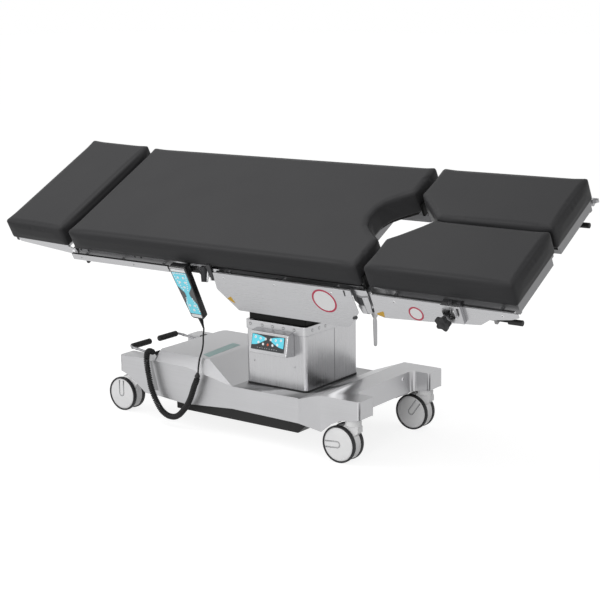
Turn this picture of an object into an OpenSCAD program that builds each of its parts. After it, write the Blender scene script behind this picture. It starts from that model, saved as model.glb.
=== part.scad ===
// Electric operating table: a sectioned, padded top on a telescopic column and a wheeled base.
// Millimetres. X runs from the head end to the leg end, Y across the table, Z up from the floor.
// The part is drawn as it is stored: column down, top tilted sideways, sections nearly level.

/* [Top] */
// Width of every mat
mat_width = 548; // [520:2:560]
// Thickness of every mat
mat_thickness = 78; // [60:1:84]
// Length of the head mat
head_length = 288; // [240:1:320]
// Back section, from its hinge to the head end of the long mat
back_length = 660; // [600:5:700]
// Seat section, from the back hinge to the leg end of the long mat
seat_length = 595; // [560:5:620]
// Distance from the column's centre to the leg end of the long mat
seat_reach = 422; // [400:1:440]
// Length of each leg mat
leg_length = 520; // [460:5:560]
// Gap between the long mat and the leg mats
leg_gap = 26; // [22:1:32]
// Gap between the long mat and the head mat
head_gap = 31; // [24:1:40]
// Sideways tilt of the top in the stored pose, in degrees
top_tilt = 28; // [26:0.5:28]
// Upward tilt of the head section in the stored pose, in degrees
head_tilt = 2; // [0:0.5:4]
// Half length of the part of the long mat that bends at the back hinge
fold_reach = 125; // [115:1:140]

/* [Frame] */
// Thickness of the boards under the mats
board_thickness = 10; // [8:1:12]
// Outer width across the side bars of the frame
frame_width = 524; // [516:2:528]
// Thickness of each side bar
bar_thickness = 12; // [10:1:14]
// Height of each side bar
bar_height = 36; // [30:1:40]
// Height of the accessory rails
rail_height = 25; // [25:1:28]
// Thickness of the accessory rails
rail_thickness = 10; // [10:0.5:10.5]
// Clear gap between side bar and accessory rail
rail_gap = 18; // [17:0.5:18]
// Radius of the hinge pins between the sections
hinge_pin_r = 8; // [7:0.5:9]
// Sheet thickness of the side covers
cover_sheet = 2.5; // [2:0.1:2.8]

/* [Column] */
// Size of the column along the table
column_width = 252; // [244:1:260]
// Size of the column across the table
column_depth = 304; // [296:1:312]
// Height of the collar's top above the floor
collar_top_z = 406.5; // [400:0.5:412]
// Height of the collar
collar_height = 32; // [26:1:36]
// Height of the lengthwise tilt axis above the floor, column down
pitch_axis_z = 620; // [616:1:626]
// Height of the sideways tilt axis above the floor, column down
roll_axis_z = 700; // [698:1:706]
// Height of the mats' top above the sideways tilt axis
mat_rise = 106.5; // [106:0.5:108]

/* [Base] */
// Height of the raised ends of the base
base_top_z = 218.6; // [214:0.2:222]
// Height of the low plate round the column
base_plate_z = 180; // [176:1:184]
// Half width of the base between the ends
base_half_width = 222; // [216:1:228]
// Half width across the feet at the leg end
foot_half_width = 255; // [252:1:260]
// Sheet thickness of the base cover
base_sheet = 3; // [2:0.5:4]
// Height of the raised cover at the head end
roof_z = 250; // [244:1:256]

/* [Casters] */
// Diameter of the caster wheels
wheel_diameter = 125; // [121:1:126]
// Trail of the wheel behind its swivel axis
wheel_trail = 41; // [38:0.5:44]
// Width across one twin wheel
wheel_width = 62; // [58:1:64]
// Distance from the column's centre to the casters at the leg end
caster_front_x = 364; // [360:1:368]
// Distance from the column's centre to the casters at the head end
caster_rear_x = 640; // [636:1:644]
// Half track of the casters at the leg end
caster_front_y = 220; // [218:1:222]
// Half track of the casters at the head end
caster_rear_y = 170; // [168:1:172]

/* [Fits] */
// Radial clearance of pins in their bores
pin_fit = 0.05; // [0.03:0.01:0.08]
// Gap between faces that slide or turn past each other
face_gap = 0.3; // [0.3:0.05:0.5]

/* [Hidden] */
$fn = 48;
// Facets of shapes that are blended with hull
blend_fn = 32;
// Reach of a cut past the face that it opens
cut = 1;

// Heights below the mats' top, in the tilted frame of the top
board_top = -mat_thickness - face_gap;
bar_top = board_top - board_thickness - face_gap;
bar_bottom = bar_top - bar_height;
rail_top = bar_top;
bar_outer = frame_width / 2;
bar_inner = bar_outer - bar_thickness;
rail_inner = bar_outer + rail_gap;
rail_outer = rail_inner + rail_thickness;
leg_cover_inner = rail_outer + face_gap;
seat_rail_outer = rail_outer - 4.5;
seat_cover_inner = seat_rail_outer + 0.5;

// Section ends along X, from the column's centre
back_hinge_x = seat_reach - seat_length;
back_hinge_z = bar_bottom + 5;
main_left = back_hinge_x - back_length;
head_pivot_x = main_left - 16;
head_pivot_z = bar_top - 8;
head_mat_right = main_left - head_gap;
head_mat_left = head_mat_right - head_length;
head_lift = 7;
leg_left = seat_reach + leg_gap;
leg_right = leg_left + leg_length;
leg_hinge_x = seat_reach - 5;
leg_hinge_z = bar_top - 23;
leg_swing_x = leg_hinge_x + 80;
leg_swing_y = 232;
leg_cover_tip = leg_right + 7;

// Where the design frame stands in the part's frame
head_tip_x = head_pivot_x - (head_pivot_x - head_mat_left) * cos(head_tilt)
    + (head_lift - mat_thickness + 4 - head_pivot_z) * sin(head_tilt);
seat_cover_bottom = -246;
handset_thick = 26;
handset_standoff = 24;
handset_outer = bar_outer + handset_standoff + handset_thick;
handset_top_z = -66;
clamp_outer = leg_cover_inner + cover_sheet;
knob_z = rail_top - 44;
knob_face = clamp_outer + 27;
knob_deep = 18;
knob_r = 18;
lobe_r = 9;
lever_x = leg_hinge_x + 7;
lever_y = leg_swing_y - 4;
lever_top_z = leg_hinge_z - 28;
lever_tip_x = lever_x - 24;
lever_tip_y = lever_y + 48;
lever_tip_z = lever_top_z - 179;
lever_end_r = 5.5;
near_edge_y = -(knob_face + knob_deep) * cos(top_tilt) - (knob_z + knob_r * sin(72) + lobe_r) * sin(top_tilt);
far_edge_y = lever_tip_y * cos(top_tilt) - lever_tip_z * sin(top_tilt) + lever_end_r;
top_y = -mat_rise * sin(top_tilt);
top_z = roll_axis_z + mat_rise * cos(top_tilt);
origin_x = -(head_tip_x + leg_cover_tip) / 2;
origin_y = -top_y - (near_edge_y + far_edge_y) / 2;

module on_floor() {
    translate([origin_x, origin_y, 0]) children();
}

module on_top() {
    on_floor() translate([0, top_y, top_z]) rotate([top_tilt, 0, 0]) children();
}

// A box given by its two corners
module block(low, high) {
    translate(low) cube(high - low);
}

// A bar along Y between two heights of Y, with its axis at x and z
module pin_y(x, z, r, y1, y2) {
    translate([x, y1, z]) rotate([-90, 0, 0]) cylinder(r = r, h = y2 - y1);
}

module pin_x(y, z, r, x1, x2) {
    translate([x1, y, z]) rotate([0, 90, 0]) cylinder(r = r, h = x2 - x1);
}

// A plate in the XZ plane between two values of Y
module plate_y(outline, y1, y2) {
    translate([0, y2, 0]) rotate([90, 0, 0]) linear_extrude(y2 - y1) polygon(outline);
}

// The same piece on both sides of the table
module both_sides() {
    for (side = [0, 1]) mirror([0, side, 0]) children();
}

// A rectangle with round corners, centred
module round_rect(w, d, r) {
    square([w - 2 * r, d], center = true);
    square([w, d - 2 * r], center = true);
    for (x = [-1, 1], y = [-1, 1]) translate([x * (w / 2 - r), y * (d / 2 - r)]) circle(r);
}

// Base
base_left = -662;
body_left = -508;
ridge_x = -349;
roof_right = -268;
slope_end = -138;
ramp_start = 144;
ramp_end = 257;
crossbar_right = 339;
foot_right = 411;
rear_foot_inner = 150;
foot_inner = 170;
roof_inset = 37;
base_low_z = 83;
skirt_low_z = 100;

// Side outline of the base with its wheel arches, drawn in by t on every upper face
function base_profile(t) = [
    [base_left + t, 162 - t * 60], [base_left + t, base_top_z - t],
    [ridge_x, base_top_z - t], [slope_end, base_plate_z - t], [ramp_start, base_plate_z - t],
    [ramp_end, base_top_z - t], [foot_right - t, base_top_z - t], [foot_right - t, 158 - t * 60],
    [crossbar_right, 146 - t * 60], [299, 128 - t * 60], [260, 96 - t * 60], [163, 96 - t * 60],
    [slope_end, skirt_low_z - t * 60], [-356, base_low_z - t * 60], [-485, 93 - t * 60],
    [-541, 93 - t * 60], [-580, 121 - t * 60], [-632, 151 - t * 60]];

module base_plan(t) {
    difference() {
        polygon([[base_left + t, -base_half_width + t], [ramp_start, -base_half_width + t],
            [ramp_end, -foot_half_width + t], [foot_right - t, -foot_half_width + t],
            [foot_right - t, foot_half_width - t], [ramp_end, foot_half_width - t],
            [ramp_start, base_half_width - t], [base_left + t, base_half_width - t]]);
        translate([base_left - cut, -rear_foot_inner - t])
            square([body_left - base_left + cut + t, 2 * (rear_foot_inner + t)]);
        translate([crossbar_right - t, -foot_inner - t])
            square([foot_right - crossbar_right + t + cut, 2 * (foot_inner + t)]);
    }
}

module base_form(t) {
    intersection() {
        plate_y(base_profile(t), -foot_half_width, foot_half_width);
        linear_extrude(roof_z) base_plan(t);
    }
    roof_form(t);
}

// The raised cover at the head end, with bevelled long sides and a sloping leg end
module roof_form(t) {
    low = base_plate_z - t * 10;
    hull() {
        block([body_left + t, -base_half_width + t, low], [slope_end - t, base_half_width - t, low + 0.1]);
        block([body_left + t, -base_half_width + t, base_top_z - t - 0.1],
            [ridge_x, base_half_width - t, base_top_z - t]);
        block([body_left + t, -base_half_width + roof_inset + t, roof_z - t - 0.1],
            [roof_right, base_half_width - roof_inset - t, roof_z - t]);
    }
}

module base_cover() color("silver") on_floor() difference() {
    base_form(0);
    base_form(base_sheet);
    translate([0, 0, base_plate_z - 20])
        linear_extrude(40) square([mid_width + 8, mid_depth + 8], center = true);
    for (s = [-1, 1]) {
        block([body_left - cut, s * pedal_y - 7, 176], [body_left + base_sheet + cut, s * pedal_y + 7, 219]);
    }
    pin_x(-socket_y, socket_z, socket_r + face_gap, body_left - cut, body_left + base_sheet + cut);
    swivel_room();
}

// Room for the head-end casters to turn between the outer walls
module swivel_room() intersection() {
    for (s = [-1, 1]) translate([-caster_rear_x, s * caster_rear_y, 0]) {
        cylinder(r = norm([wheel_trail + wheel_r, wheel_width / 2]) + 3, h = wheel_diameter + 4);
        cylinder(r = housing_r + 3, h = fork_top + 2);
    }
    block([base_left - cut, -base_half_width + base_sheet, 0],
        [body_left, base_half_width - base_sheet, fork_top + 2]);
}

// Chassis of square tube inside the cover, with a socket over each caster
rail_y = caster_rear_y + 4;
tube = 38;
front_tube_x = ramp_end - 9;
chassis_left = body_left + 8;
battery_left = ridge_x - 61;
battery_right = ridge_x + 99;
chassis_low = 116;
plate_low = 105;
arm_low = 165;
arm_high = 205;
stem_r = 11;

module chassis_arm(x, y, inner_x) {
    half = 15;
    difference() {
        block([min(x - half, inner_x), y - half, arm_low], [max(x + half, inner_x), y + half, arm_high]);
        translate([x, y, arm_low - cut]) cylinder(r = stem_r + pin_fit, h = arm_high - arm_low + 2 * cut);
    }
}

module base_chassis() color("dimgray") on_floor() {
    for (s = [-1, 1]) {
        block([chassis_left, s * rail_y - tube / 2, chassis_low], [front_tube_x + tube, s * rail_y + tube / 2, chassis_low + tube]);
        block([chassis_left - 2, s * rail_y - tube / 2, chassis_low + tube], [pedal_pivot_x, s * rail_y + tube / 2, arm_low]);
        block([front_tube_x, s * rail_y - tube / 2, chassis_low + tube],
            [front_tube_x + tube, s * rail_y + tube / 2, arm_low]);
        chassis_arm(-caster_rear_x, s * caster_rear_y, pedal_pivot_x);
        chassis_arm(caster_front_x, s * caster_front_y, front_tube_x);
    }
    block([front_tube_x, -235, arm_low], [front_tube_x + tube, 235, arm_high]);
    block([pedal_pivot_x + 10, -rail_y + tube / 2, chassis_low], [pedal_pivot_x + 10 + tube, rail_y - tube / 2, chassis_low + tube]);
    block([-165, -rail_y, plate_low], [165, rail_y, chassis_low]);
    block([battery_left - 10, -rail_y, plate_low], [battery_right + 10, rail_y, chassis_low]);
    // Two ears on the rear cross tube carry each pedal's pivot pin
    for (s = [-1, 1], e = [-1, 1]) difference() {
        block([pedal_pivot_x - 14, s * pedal_y + e * 16 - 4, chassis_low + tube], [pedal_pivot_x + 14, s * pedal_y + e * 16 + 4, 214]);
        pin_y(pedal_pivot_x, pedal_pivot_z, pedal_pin_r + pin_fit,
            s * pedal_y + e * 16 - 4 - cut, s * pedal_y + e * 16 + 4 + cut);
    }
    for (s = [-1, 1]) block([pedal_pivot_x - 14, s * pedal_y - 20, chassis_low + tube - 8],
        [pedal_pivot_x + 15, s * pedal_y + 20, chassis_low + tube]);
}

module undertray() color([0.12, 0.12, 0.12]) on_floor() {
    low = 55;
    lip = plate_low;
    half = base_half_width - 17;
    left = ridge_x - 59;
    hull() {
        block([left, -half, low], [ramp_start - 16, half, low + 1]);
        block([left, -half, lip - 1], [ramp_start + 38, half, lip]);
    }
}

module battery_pack() color([0.15, 0.15, 0.18]) on_floor()
    block([battery_left, -rail_y + 44, chassis_low], [battery_right, rail_y - 44, 205]);

// Column
corner_r = 12;
column_wall = 3;
seal_height = 6;
mid_wall = 4;
mid_r = 8;
top_r = 5;
mid_width = column_width - 16;
mid_depth = column_depth - 16;
top_width = mid_width - 14;
top_depth = mid_depth - 14;
collar_overhang = 4;
sleeve_low = 122;

// A ring of round-cornered walls; the inner corners have a radius of their own
module column_ring(w, d, r, w_in, d_in, r_in, low, high) {
    translate([0, 0, low]) linear_extrude(high - low) difference() {
        round_rect(w, d, r);
        round_rect(w_in, d_in, r_in);
    }
}

module column_cover() color("silver") on_floor()
    column_ring(column_width, column_depth, corner_r, column_width - 2 * column_wall,
        column_depth - 2 * column_wall, corner_r - column_wall, base_plate_z + seal_height,
        collar_top_z - collar_height);

module column_seal() color([0.1, 0.1, 0.1]) on_floor()
    column_ring(column_width + 4, column_depth + 4, corner_r + 2, column_width - 12, column_depth - 12,
        6, base_plate_z, base_plate_z + seal_height);

module column_collar() color("gainsboro") on_floor() difference() {
    column_ring(column_width + 2 * collar_overhang, column_depth + 2 * collar_overhang,
        corner_r + collar_overhang, mid_width + 2 * face_gap, mid_depth + 2 * face_gap, mid_r + face_gap,
        collar_top_z - collar_height, collar_top_z);
    // Shallow round marks along the front and the leg-end face
    for (x = [-96, -48, 0, 48, 96]) pin_y(x, collar_top_z - 13, 4, -column_depth / 2 - collar_overhang - cut,
        -column_depth / 2 - collar_overhang + 1);
    for (y = [-118, -80, -42]) pin_x(y, collar_top_z - 14, 4, column_width / 2 + collar_overhang - 1,
        column_width / 2 + collar_overhang + cut);
}

module lift_motor() color([0.3, 0.3, 0.32]) on_floor() {
    translate([0, 0, chassis_low]) cylinder(r = 48, h = 90);
    translate([0, 0, chassis_low + 90]) cylinder(r = 22, h = 200);
}

module column_mid() color("silver") on_floor() {
    column_ring(mid_width, mid_depth, mid_r, mid_width - 2 * mid_wall, mid_depth - 2 * mid_wall,
        mid_r - mid_wall, sleeve_low, collar_top_z - 24);
    column_ring(mid_width, mid_depth, mid_r, top_width + 2 * face_gap, top_depth + 2 * face_gap,
        top_r + face_gap, collar_top_z - 24, collar_top_z - 2);
}

cap_low = collar_top_z + face_gap;
cap_high = 455;

module column_top() color([0.08, 0.08, 0.08]) on_floor() {
    column_ring(top_width, top_depth, top_r, top_width - 12, top_depth - 12, 2, sleeve_low, cap_low);
    translate([0, 0, cap_low]) linear_extrude(cap_high - cap_low) round_rect(column_width - 12, column_depth - 12, 10);
}

// Tilt joints above the column
pitch_pin_r = 12;
roll_pin_r = 10;
ear_inner = 52;
ear_outer = 72;
lug_inner = 45;
lug_outer = 65;

module tilt_yoke() color("gray") on_floor() {
    block([-90, -90, cap_high], [90, 90, cap_high + 10]);
    both_sides() difference() {
        union() {
            block([-35, ear_inner, cap_high + 10], [35, ear_outer, pitch_axis_z]);
            pin_y(0, pitch_axis_z, 25, ear_inner, ear_outer);
        }
        pin_y(0, pitch_axis_z, pitch_pin_r + pin_fit, ear_inner - cut, ear_outer + cut);
    }
}

module cross_block() color("darkgray") on_floor() {
    block([-35, -30, pitch_axis_z - 25], [35, 30, roll_axis_z - 5]);
    pin_x(0, roll_axis_z, 16, -lug_inner + face_gap, lug_inner - face_gap);
    pin_x(0, roll_axis_z, roll_pin_r, -lug_outer - 6, lug_outer + 6);
    pin_y(0, pitch_axis_z, 18, -ear_inner + face_gap, ear_inner - face_gap);
    pin_y(0, pitch_axis_z, pitch_pin_r, -ear_outer - 4, ear_outer + 4);
}

// Control panel on the front of the column
panel_half = 79;
panel_top = collar_top_z - collar_height - face_gap;
panel_back = -column_depth / 2 - collar_overhang - face_gap;
panel_face = [[-column_depth / 2, 300], [-column_depth / 2, panel_top], [panel_back, panel_top],
    [panel_back, 384], [-184, 379], [-200, 306]];

module control_box() color("silver") on_floor()
    translate([-panel_half, 0, 0]) rotate([90, 0, 90]) linear_extrude(2 * panel_half) polygon(panel_face);

module control_screen() color([0.3, 0.75, 0.85]) on_floor() {
    lean = atan2(16, 73);
    translate([0, -200 - face_gap, 306]) rotate([-lean, 0, 0])
        block([-panel_half + 9, -2, 13], [panel_half - 12, 0, 66]);
}

// Casters: 1 and 2 at the leg end, 3 and 4 at the head end, odd ones on the near side
function caster_place(k) = [(k <= 2) ? caster_front_x : -caster_rear_x,
    ((k % 2 == 1) ? -1 : 1) * ((k <= 2) ? caster_front_y : caster_rear_y)];
web_half = 9;
axle_r = 6;
disc_r = wheel_diameter / 2 - 8.5;
disc_inner = 11;
wheel_r = wheel_diameter / 2;
fork_top = 158;
housing_r = 27;

module at_caster(k) {
    p = caster_place(k);
    on_floor() translate([p[0], p[1], 0]) children();
}

module caster_fork(k) color("whitesmoke") at_caster(k) difference() {
    union() {
        translate([0, 0, fork_top]) cylinder(r = stem_r, h = 38);
        translate([0, 0, wheel_diameter + 4]) cylinder(r = housing_r, h = fork_top - wheel_diameter - 4);
        plate_y([[-24, wheel_diameter + 6], [27, wheel_diameter + 6], [25, 100], [8, 40], [-40, 30], [-80, 80]],
            -web_half, web_half);
        pin_y(-wheel_trail, wheel_r, disc_r - 4, -web_half, web_half);
    }
    pin_y(-wheel_trail, wheel_r, axle_r + pin_fit, -web_half - cut, web_half + cut);
}

module caster_wheel(k) color("white") at_caster(k) {
    pin_y(-wheel_trail, wheel_r, axle_r, -disc_inner, disc_inner);
    both_sides() {
        pin_y(-wheel_trail, wheel_r, disc_r, disc_inner, wheel_width / 2 - 2);
        pin_y(-wheel_trail, wheel_r, disc_r - 8, wheel_width / 2 - 2, wheel_width / 2);
    }
}

module caster_tyre(k) color([0.2, 0.2, 0.2]) at_caster(k) both_sides()
    translate([-wheel_trail, wheel_width / 2, wheel_r]) rotate([90, 0, 0]) rotate_extrude() {
        half = (wheel_width / 2 - disc_inner) / 2;
        polygon([[disc_r, 0], [wheel_r - 3, 0], [wheel_r, 3], [wheel_r, 2 * half - 3],
            [wheel_r - 3, 2 * half], [disc_r, 2 * half]]);
    }

// Foot levers at the head end: 1 near, 2 far
pedal_y = 130;
pedal_pivot_x = body_left + 38;
pedal_pivot_z = 200;
pedal_pin_r = 5;
pedal_grip_x = -693;
pedal_grip_z = 224;
pedal_rod_r = 4.5;

module pedal_lever(side) color("silver") on_floor() {
    y = side * pedal_y;
    length = norm([pedal_grip_x - pedal_pivot_x, pedal_grip_z - pedal_pivot_z]);
    rise = atan2(pedal_grip_z - pedal_pivot_z, pedal_pivot_x - pedal_grip_x);
    pin_y(pedal_pivot_x, pedal_pivot_z, pedal_pin_r, y - 22, y + 22);
    pin_y(pedal_pivot_x, pedal_pivot_z, 9, y - 11, y + 11);
    translate([pedal_pivot_x, y, pedal_pivot_z]) rotate([0, rise, 0])
        pin_x(0, 0, pedal_rod_r, -length, 0);
    translate([pedal_grip_x, y, pedal_grip_z]) sphere(pedal_rod_r + 1.5);
    pin_y(pedal_grip_x, pedal_grip_z, pedal_rod_r, min(y, side * 28), max(y, side * 28));
}

module pedal_grip(side) color([0.08, 0.08, 0.08]) on_floor() {
    inner = 24;
    outer = 123;
    difference() {
        pin_y(pedal_grip_x, pedal_grip_z, 11, min(side * inner, side * outer), max(side * inner, side * outer));
        pin_y(pedal_grip_x, pedal_grip_z, pedal_rod_r,
            min(side * 28, side * (outer + cut)), max(side * 28, side * (outer + cut)));
    }
}

// Cushions: an outline carried up through rings that draw the sides in and crown the top.
// An outline's points hold x, y and the corner's radius; a corner with no radius stays sharp.
crown = 4;
mat_half = mat_width / 2;
mat_r = 10;
inner_r = 3;
function mat_rings(t) = [[-t, 4], [-t + 4, 0], [-t / 2, 2.5], [-6, 0], [-1.5, 1.2], [0, 5], [2, 24]];

// Points of an outline moved inwards by d, with four points round each rounded corner
function outline_ring(o, d) = [for (i = [0 : len(o) - 1])
    let (n = len(o), a = flat(o[(i + n - 1) % n]), b = flat(o[i]), c = flat(o[(i + 1) % n]),
        u = (b - a) / norm(b - a), v = (c - b) / norm(c - b),
        p = b + [-u[1] - v[1], u[0] + v[0]] * d / (1 + u * v), r = max(o[i][2] - d, inner_r))
    for (q = o[i][2] == 0 ? [p] : [for (w = [0 : 30 : 90]) p + r * (v - u) + r * (sin(w) * u - cos(w) * v)]) q];
function flat(p) = [p[0], p[1]];

module cushion(outline, peak, t) {
    rings = mat_rings(t);
    m = len(rings);
    n = len(outline_ring(outline, 0));
    pts = [for (g = rings) for (p = outline_ring(outline, g[1])) [p[0], p[1], g[0]]];
    sides = [for (k = [0 : m - 2]) for (i = [0 : n - 1]) for (f = [0, 1])
        let (j = (i + 1) % n, a = k * n)
        f == 0 ? [a + i, a + n + i, a + j] : [a + j, a + n + i, a + n + j]];
    lid = [for (i = [0 : n - 1]) [(m - 1) * n + i, m * n, (m - 1) * n + (i + 1) % n]];
    underside = [for (i = [0 : n - 1]) [(i + 1) % n, m * n + 1, i]];
    polyhedron(concat(pts, [[peak[0], peak[1], crown], [peak[0], peak[1], -t]]),
        concat(sides, lid, underside), convexity = 6);
}

cutout = [[seat_reach, 125], [seat_reach - 45, 92], [seat_reach - 78, 60], [seat_reach - 92, 25]];
cutout_edge = concat([for (p = cutout) [p[0], -p[1]]], [for (i = [len(cutout) - 1 : -1 : 0]) cutout[i]]);
main_outline = concat([[main_left, -mat_half, mat_r], [seat_reach, -mat_half, mat_r]],
    [for (p = cutout_edge) [p[0], p[1], 0]],
    [[seat_reach, mat_half, mat_r], [main_left, mat_half, mat_r]]);
fold_left = back_hinge_x - fold_reach;
fold_right = back_hinge_x + fold_reach;

module main_mat_part(x1, x2) color([0.16, 0.16, 0.17]) on_top() intersection() {
    cushion(main_outline, [back_hinge_x, 0], mat_thickness);
    block([x1, -mat_width, -2 * mat_thickness], [x2, mat_width, mat_thickness]);
}

module back_mat() main_mat_part(main_left - 20, fold_left - face_gap / 2);
module mat_fold() main_mat_part(fold_left + face_gap / 2, fold_right - face_gap / 2);
module seat_mat() main_mat_part(fold_right + face_gap / 2, seat_reach + 20);

// Head section, turned about its pivot
module on_head() {
    on_top() translate([head_pivot_x, 0, head_pivot_z]) rotate([0, head_tilt, 0])
        translate([-head_pivot_x, 0, -head_pivot_z]) children();
}

head_outline = [[head_mat_left, -mat_half, mat_r], [head_mat_right, -mat_half, mat_r],
    [head_mat_right, mat_half, mat_r], [head_mat_left, mat_half, mat_r]];

module head_mat() color([0.16, 0.16, 0.17]) on_head() translate([0, 0, head_lift])
    cushion(head_outline, [(head_mat_left + head_mat_right) / 2, 0], mat_thickness);

head_plate_inner = bar_outer + 2;
head_plate_outer = head_plate_inner + 4;
head_pin_r = 6;
head_board_top = board_top + head_lift;

module head_frame() color("silver") on_head() {
    low = head_pivot_z;
    block([head_mat_left + 14, -head_plate_outer, head_board_top - board_thickness],
        [head_mat_right - 6, head_plate_outer, head_board_top]);
    both_sides() {
        plate_y([[head_mat_left + 20, head_board_top - 4], [head_mat_left + 34, head_board_top - 16],
            [head_pivot_x - 2, low - 12], [head_pivot_x + 14, low - 8], [head_pivot_x + 15, low + 8],
            [head_mat_right - 6, head_board_top - 4]], head_plate_inner, head_plate_outer);
        pin_y(head_pivot_x, head_pivot_z, head_pin_r, bar_inner - 3, head_plate_inner);
    }
    pin_x(-200, head_board_top - board_thickness - 7, 8, head_mat_left + 40, head_mat_right - 20);
    pin_x(200, head_board_top - board_thickness - 7, 8, head_mat_left + 40, head_mat_right - 20);
}

// Long frame members of the back section
module back_frame() color("darkgray") on_top() difference() {
    back_members();
    translate([lock_x, -bar_outer + 6, head_pivot_z - 12 - cut])
        cylinder(r = lock_pin_r + pin_fit, h = 12 + cut);
}

module back_members() {
    both_sides() {
        difference() {
            union() {
                block([head_pivot_x, bar_inner, head_pivot_z - 12], [main_left + 30, bar_outer, head_pivot_z + 6]);
                block([main_left + 30, bar_inner, bar_bottom], [back_hinge_x - 40, bar_outer, bar_top]);
                pin_y(head_pivot_x, head_pivot_z, 13, bar_inner, bar_outer);
            }
            pin_y(head_pivot_x, head_pivot_z, head_pin_r + pin_fit, bar_inner - cut, bar_outer + cut);
        }
        // Hinge leaf inside the seat's side bar, with its pin
        block([back_hinge_x - 70, bar_inner - 14, bar_bottom], [back_hinge_x - 40, bar_outer, bar_top]);
        block([back_hinge_x - 60, bar_inner - 14, back_hinge_z - 12],
            [back_hinge_x, bar_inner - face_gap, back_hinge_z + 12]);
        pin_y(back_hinge_x, back_hinge_z, 16, bar_inner - 14, bar_inner - face_gap);
        pin_y(back_hinge_x, back_hinge_z, hinge_pin_r, bar_inner - 14, bar_outer + 5);
    }
    for (x = [main_left + 60, (main_left + back_hinge_x) / 2, back_hinge_x - 70])
        block([x, -bar_inner, bar_bottom + 6], [x + 30, bar_inner, bar_top - 4]);
}

module board(outline) {
    translate([0, 0, board_top - board_thickness]) linear_extrude(board_thickness) polygon(outline);
}

module back_board() color([0.07, 0.07, 0.07]) on_top()
    board([[main_left + 12, -bar_outer], [back_hinge_x - 35, -bar_outer],
        [back_hinge_x - 35, bar_outer], [main_left + 12, bar_outer]]);

// An accessory rail on its spacers, between two ends
spacer_r = 5;
module rail(x1, x2, spacers, inner, outer) {
    block([x1, inner, rail_top - rail_height], [x2, outer, rail_top]);
    for (x = spacers) pin_y(x, rail_top - rail_height / 2, spacer_r, bar_outer, inner);
}

back_rail_left = main_left - 9;
back_rail_right = back_hinge_x - 205;

module back_rails() color("whitesmoke") on_top() both_sides()
    rail(back_rail_left, back_rail_right, [main_left + 45, (back_rail_left + back_rail_right) / 2,
        back_rail_right - 40], rail_inner, rail_outer);

// Seat section
seat_rail_left = back_hinge_x + 6;
seat_rail_right = seat_reach - 40;
seat_bar_right = leg_hinge_x;
seat_cross_x = [-lug_outer, lug_inner, 285];

module seat_frame() color("darkgray") on_top() {
    both_sides() {
        difference() {
            union() {
                block([back_hinge_x, bar_inner, bar_bottom], [seat_bar_right, bar_outer, bar_top]);
                pin_y(back_hinge_x, back_hinge_z, 20, bar_inner, bar_outer);
                pin_y(leg_hinge_x, leg_hinge_z, 14, bar_inner, bar_outer);
            }
            pin_y(back_hinge_x, back_hinge_z, hinge_pin_r + pin_fit, bar_inner - cut, bar_outer + cut);
            pin_y(leg_hinge_x, leg_hinge_z, hinge_pin_r + pin_fit, bar_inner - cut, bar_outer + cut);
            block([back_hinge_x - cut, bar_inner - cut, back_hinge_z + 20], [back_hinge_x + 1, bar_outer + cut, 0]);
        }
    }
    difference() {
        union() {
            for (x = seat_cross_x) block([x, -bar_inner, bar_bottom + 2], [x + 20, bar_inner, bar_top]);
            for (x = [-lug_outer, lug_inner]) block([x, -25, -mat_rise - 26], [x + 20, 25, bar_top]);
        }
        pin_x(0, -mat_rise, roll_pin_r + pin_fit, -lug_outer - cut, -lug_inner + cut);
        pin_x(0, -mat_rise, roll_pin_r + pin_fit, lug_inner - cut, lug_outer + cut);
    }
}

module seat_side_covers() color("silver") on_top() both_sides()
    plate_y([[back_hinge_x - 4, rail_top - 1], [back_hinge_x - 15, -161], [back_hinge_x + 48, seat_cover_bottom],
        [seat_reach - 100, seat_cover_bottom], [seat_reach - 86, -240], [seat_reach - 34, -178],
        [seat_reach - 39, rail_top - 1]], seat_cover_inner, seat_cover_inner + cover_sheet);

module seat_rails() color("silver") on_top() both_sides()
    rail(seat_rail_left, seat_rail_right, [seat_rail_left + 40, (seat_rail_left + seat_rail_right) / 2,
        seat_rail_right - 62], seat_rail_outer - rail_thickness, seat_cover_inner);

module seat_board() color([0.07, 0.07, 0.07]) on_top()
    board(concat([[back_hinge_x + 50, bar_outer], [back_hinge_x + 50, -bar_outer], [seat_reach - 12, -bar_outer]],
        [for (p = cutout_edge) p - [14, 0]], [[seat_reach - 12, bar_outer]]));

// Leg sections, drawn on the near side and mirrored for the far side
module leg_side(far) {
    on_top() mirror([0, far, 0]) children();
}

hinge_half = 11;
swing_pin_r = 10;
cheek_right = leg_hinge_x + 10;

module leg_hinge(far) color("gray") leg_side(far) difference() {
    union() {
        block([leg_hinge_x, -leg_swing_y - hinge_half, leg_hinge_z - 14],
            [leg_swing_x, -leg_swing_y + hinge_half, leg_hinge_z + 14]);
        translate([leg_swing_x, -leg_swing_y, leg_hinge_z - 14]) cylinder(r = 17, h = 28);
        pin_y(leg_hinge_x, leg_hinge_z, 14, -bar_inner + face_gap, -leg_swing_y + hinge_half);
        pin_y(leg_hinge_x, leg_hinge_z, hinge_pin_r, -bar_outer - 5, -leg_swing_y);
        // Cheek plate outside the seat's side bar
        plate_y([[leg_hinge_x - 31, -110], [leg_hinge_x - 21, -94], [cheek_right, -94], [cheek_right, -165],
            [leg_hinge_x + 1, -190], [leg_hinge_x - 21, -190], [leg_hinge_x - 31, -150]],
            -bar_outer - 12, -bar_outer - 2);
    }
    translate([leg_swing_x, -leg_swing_y, leg_hinge_z - 14 - cut])
        cylinder(r = swing_pin_r + pin_fit, h = 28 + 2 * cut);
}

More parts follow.
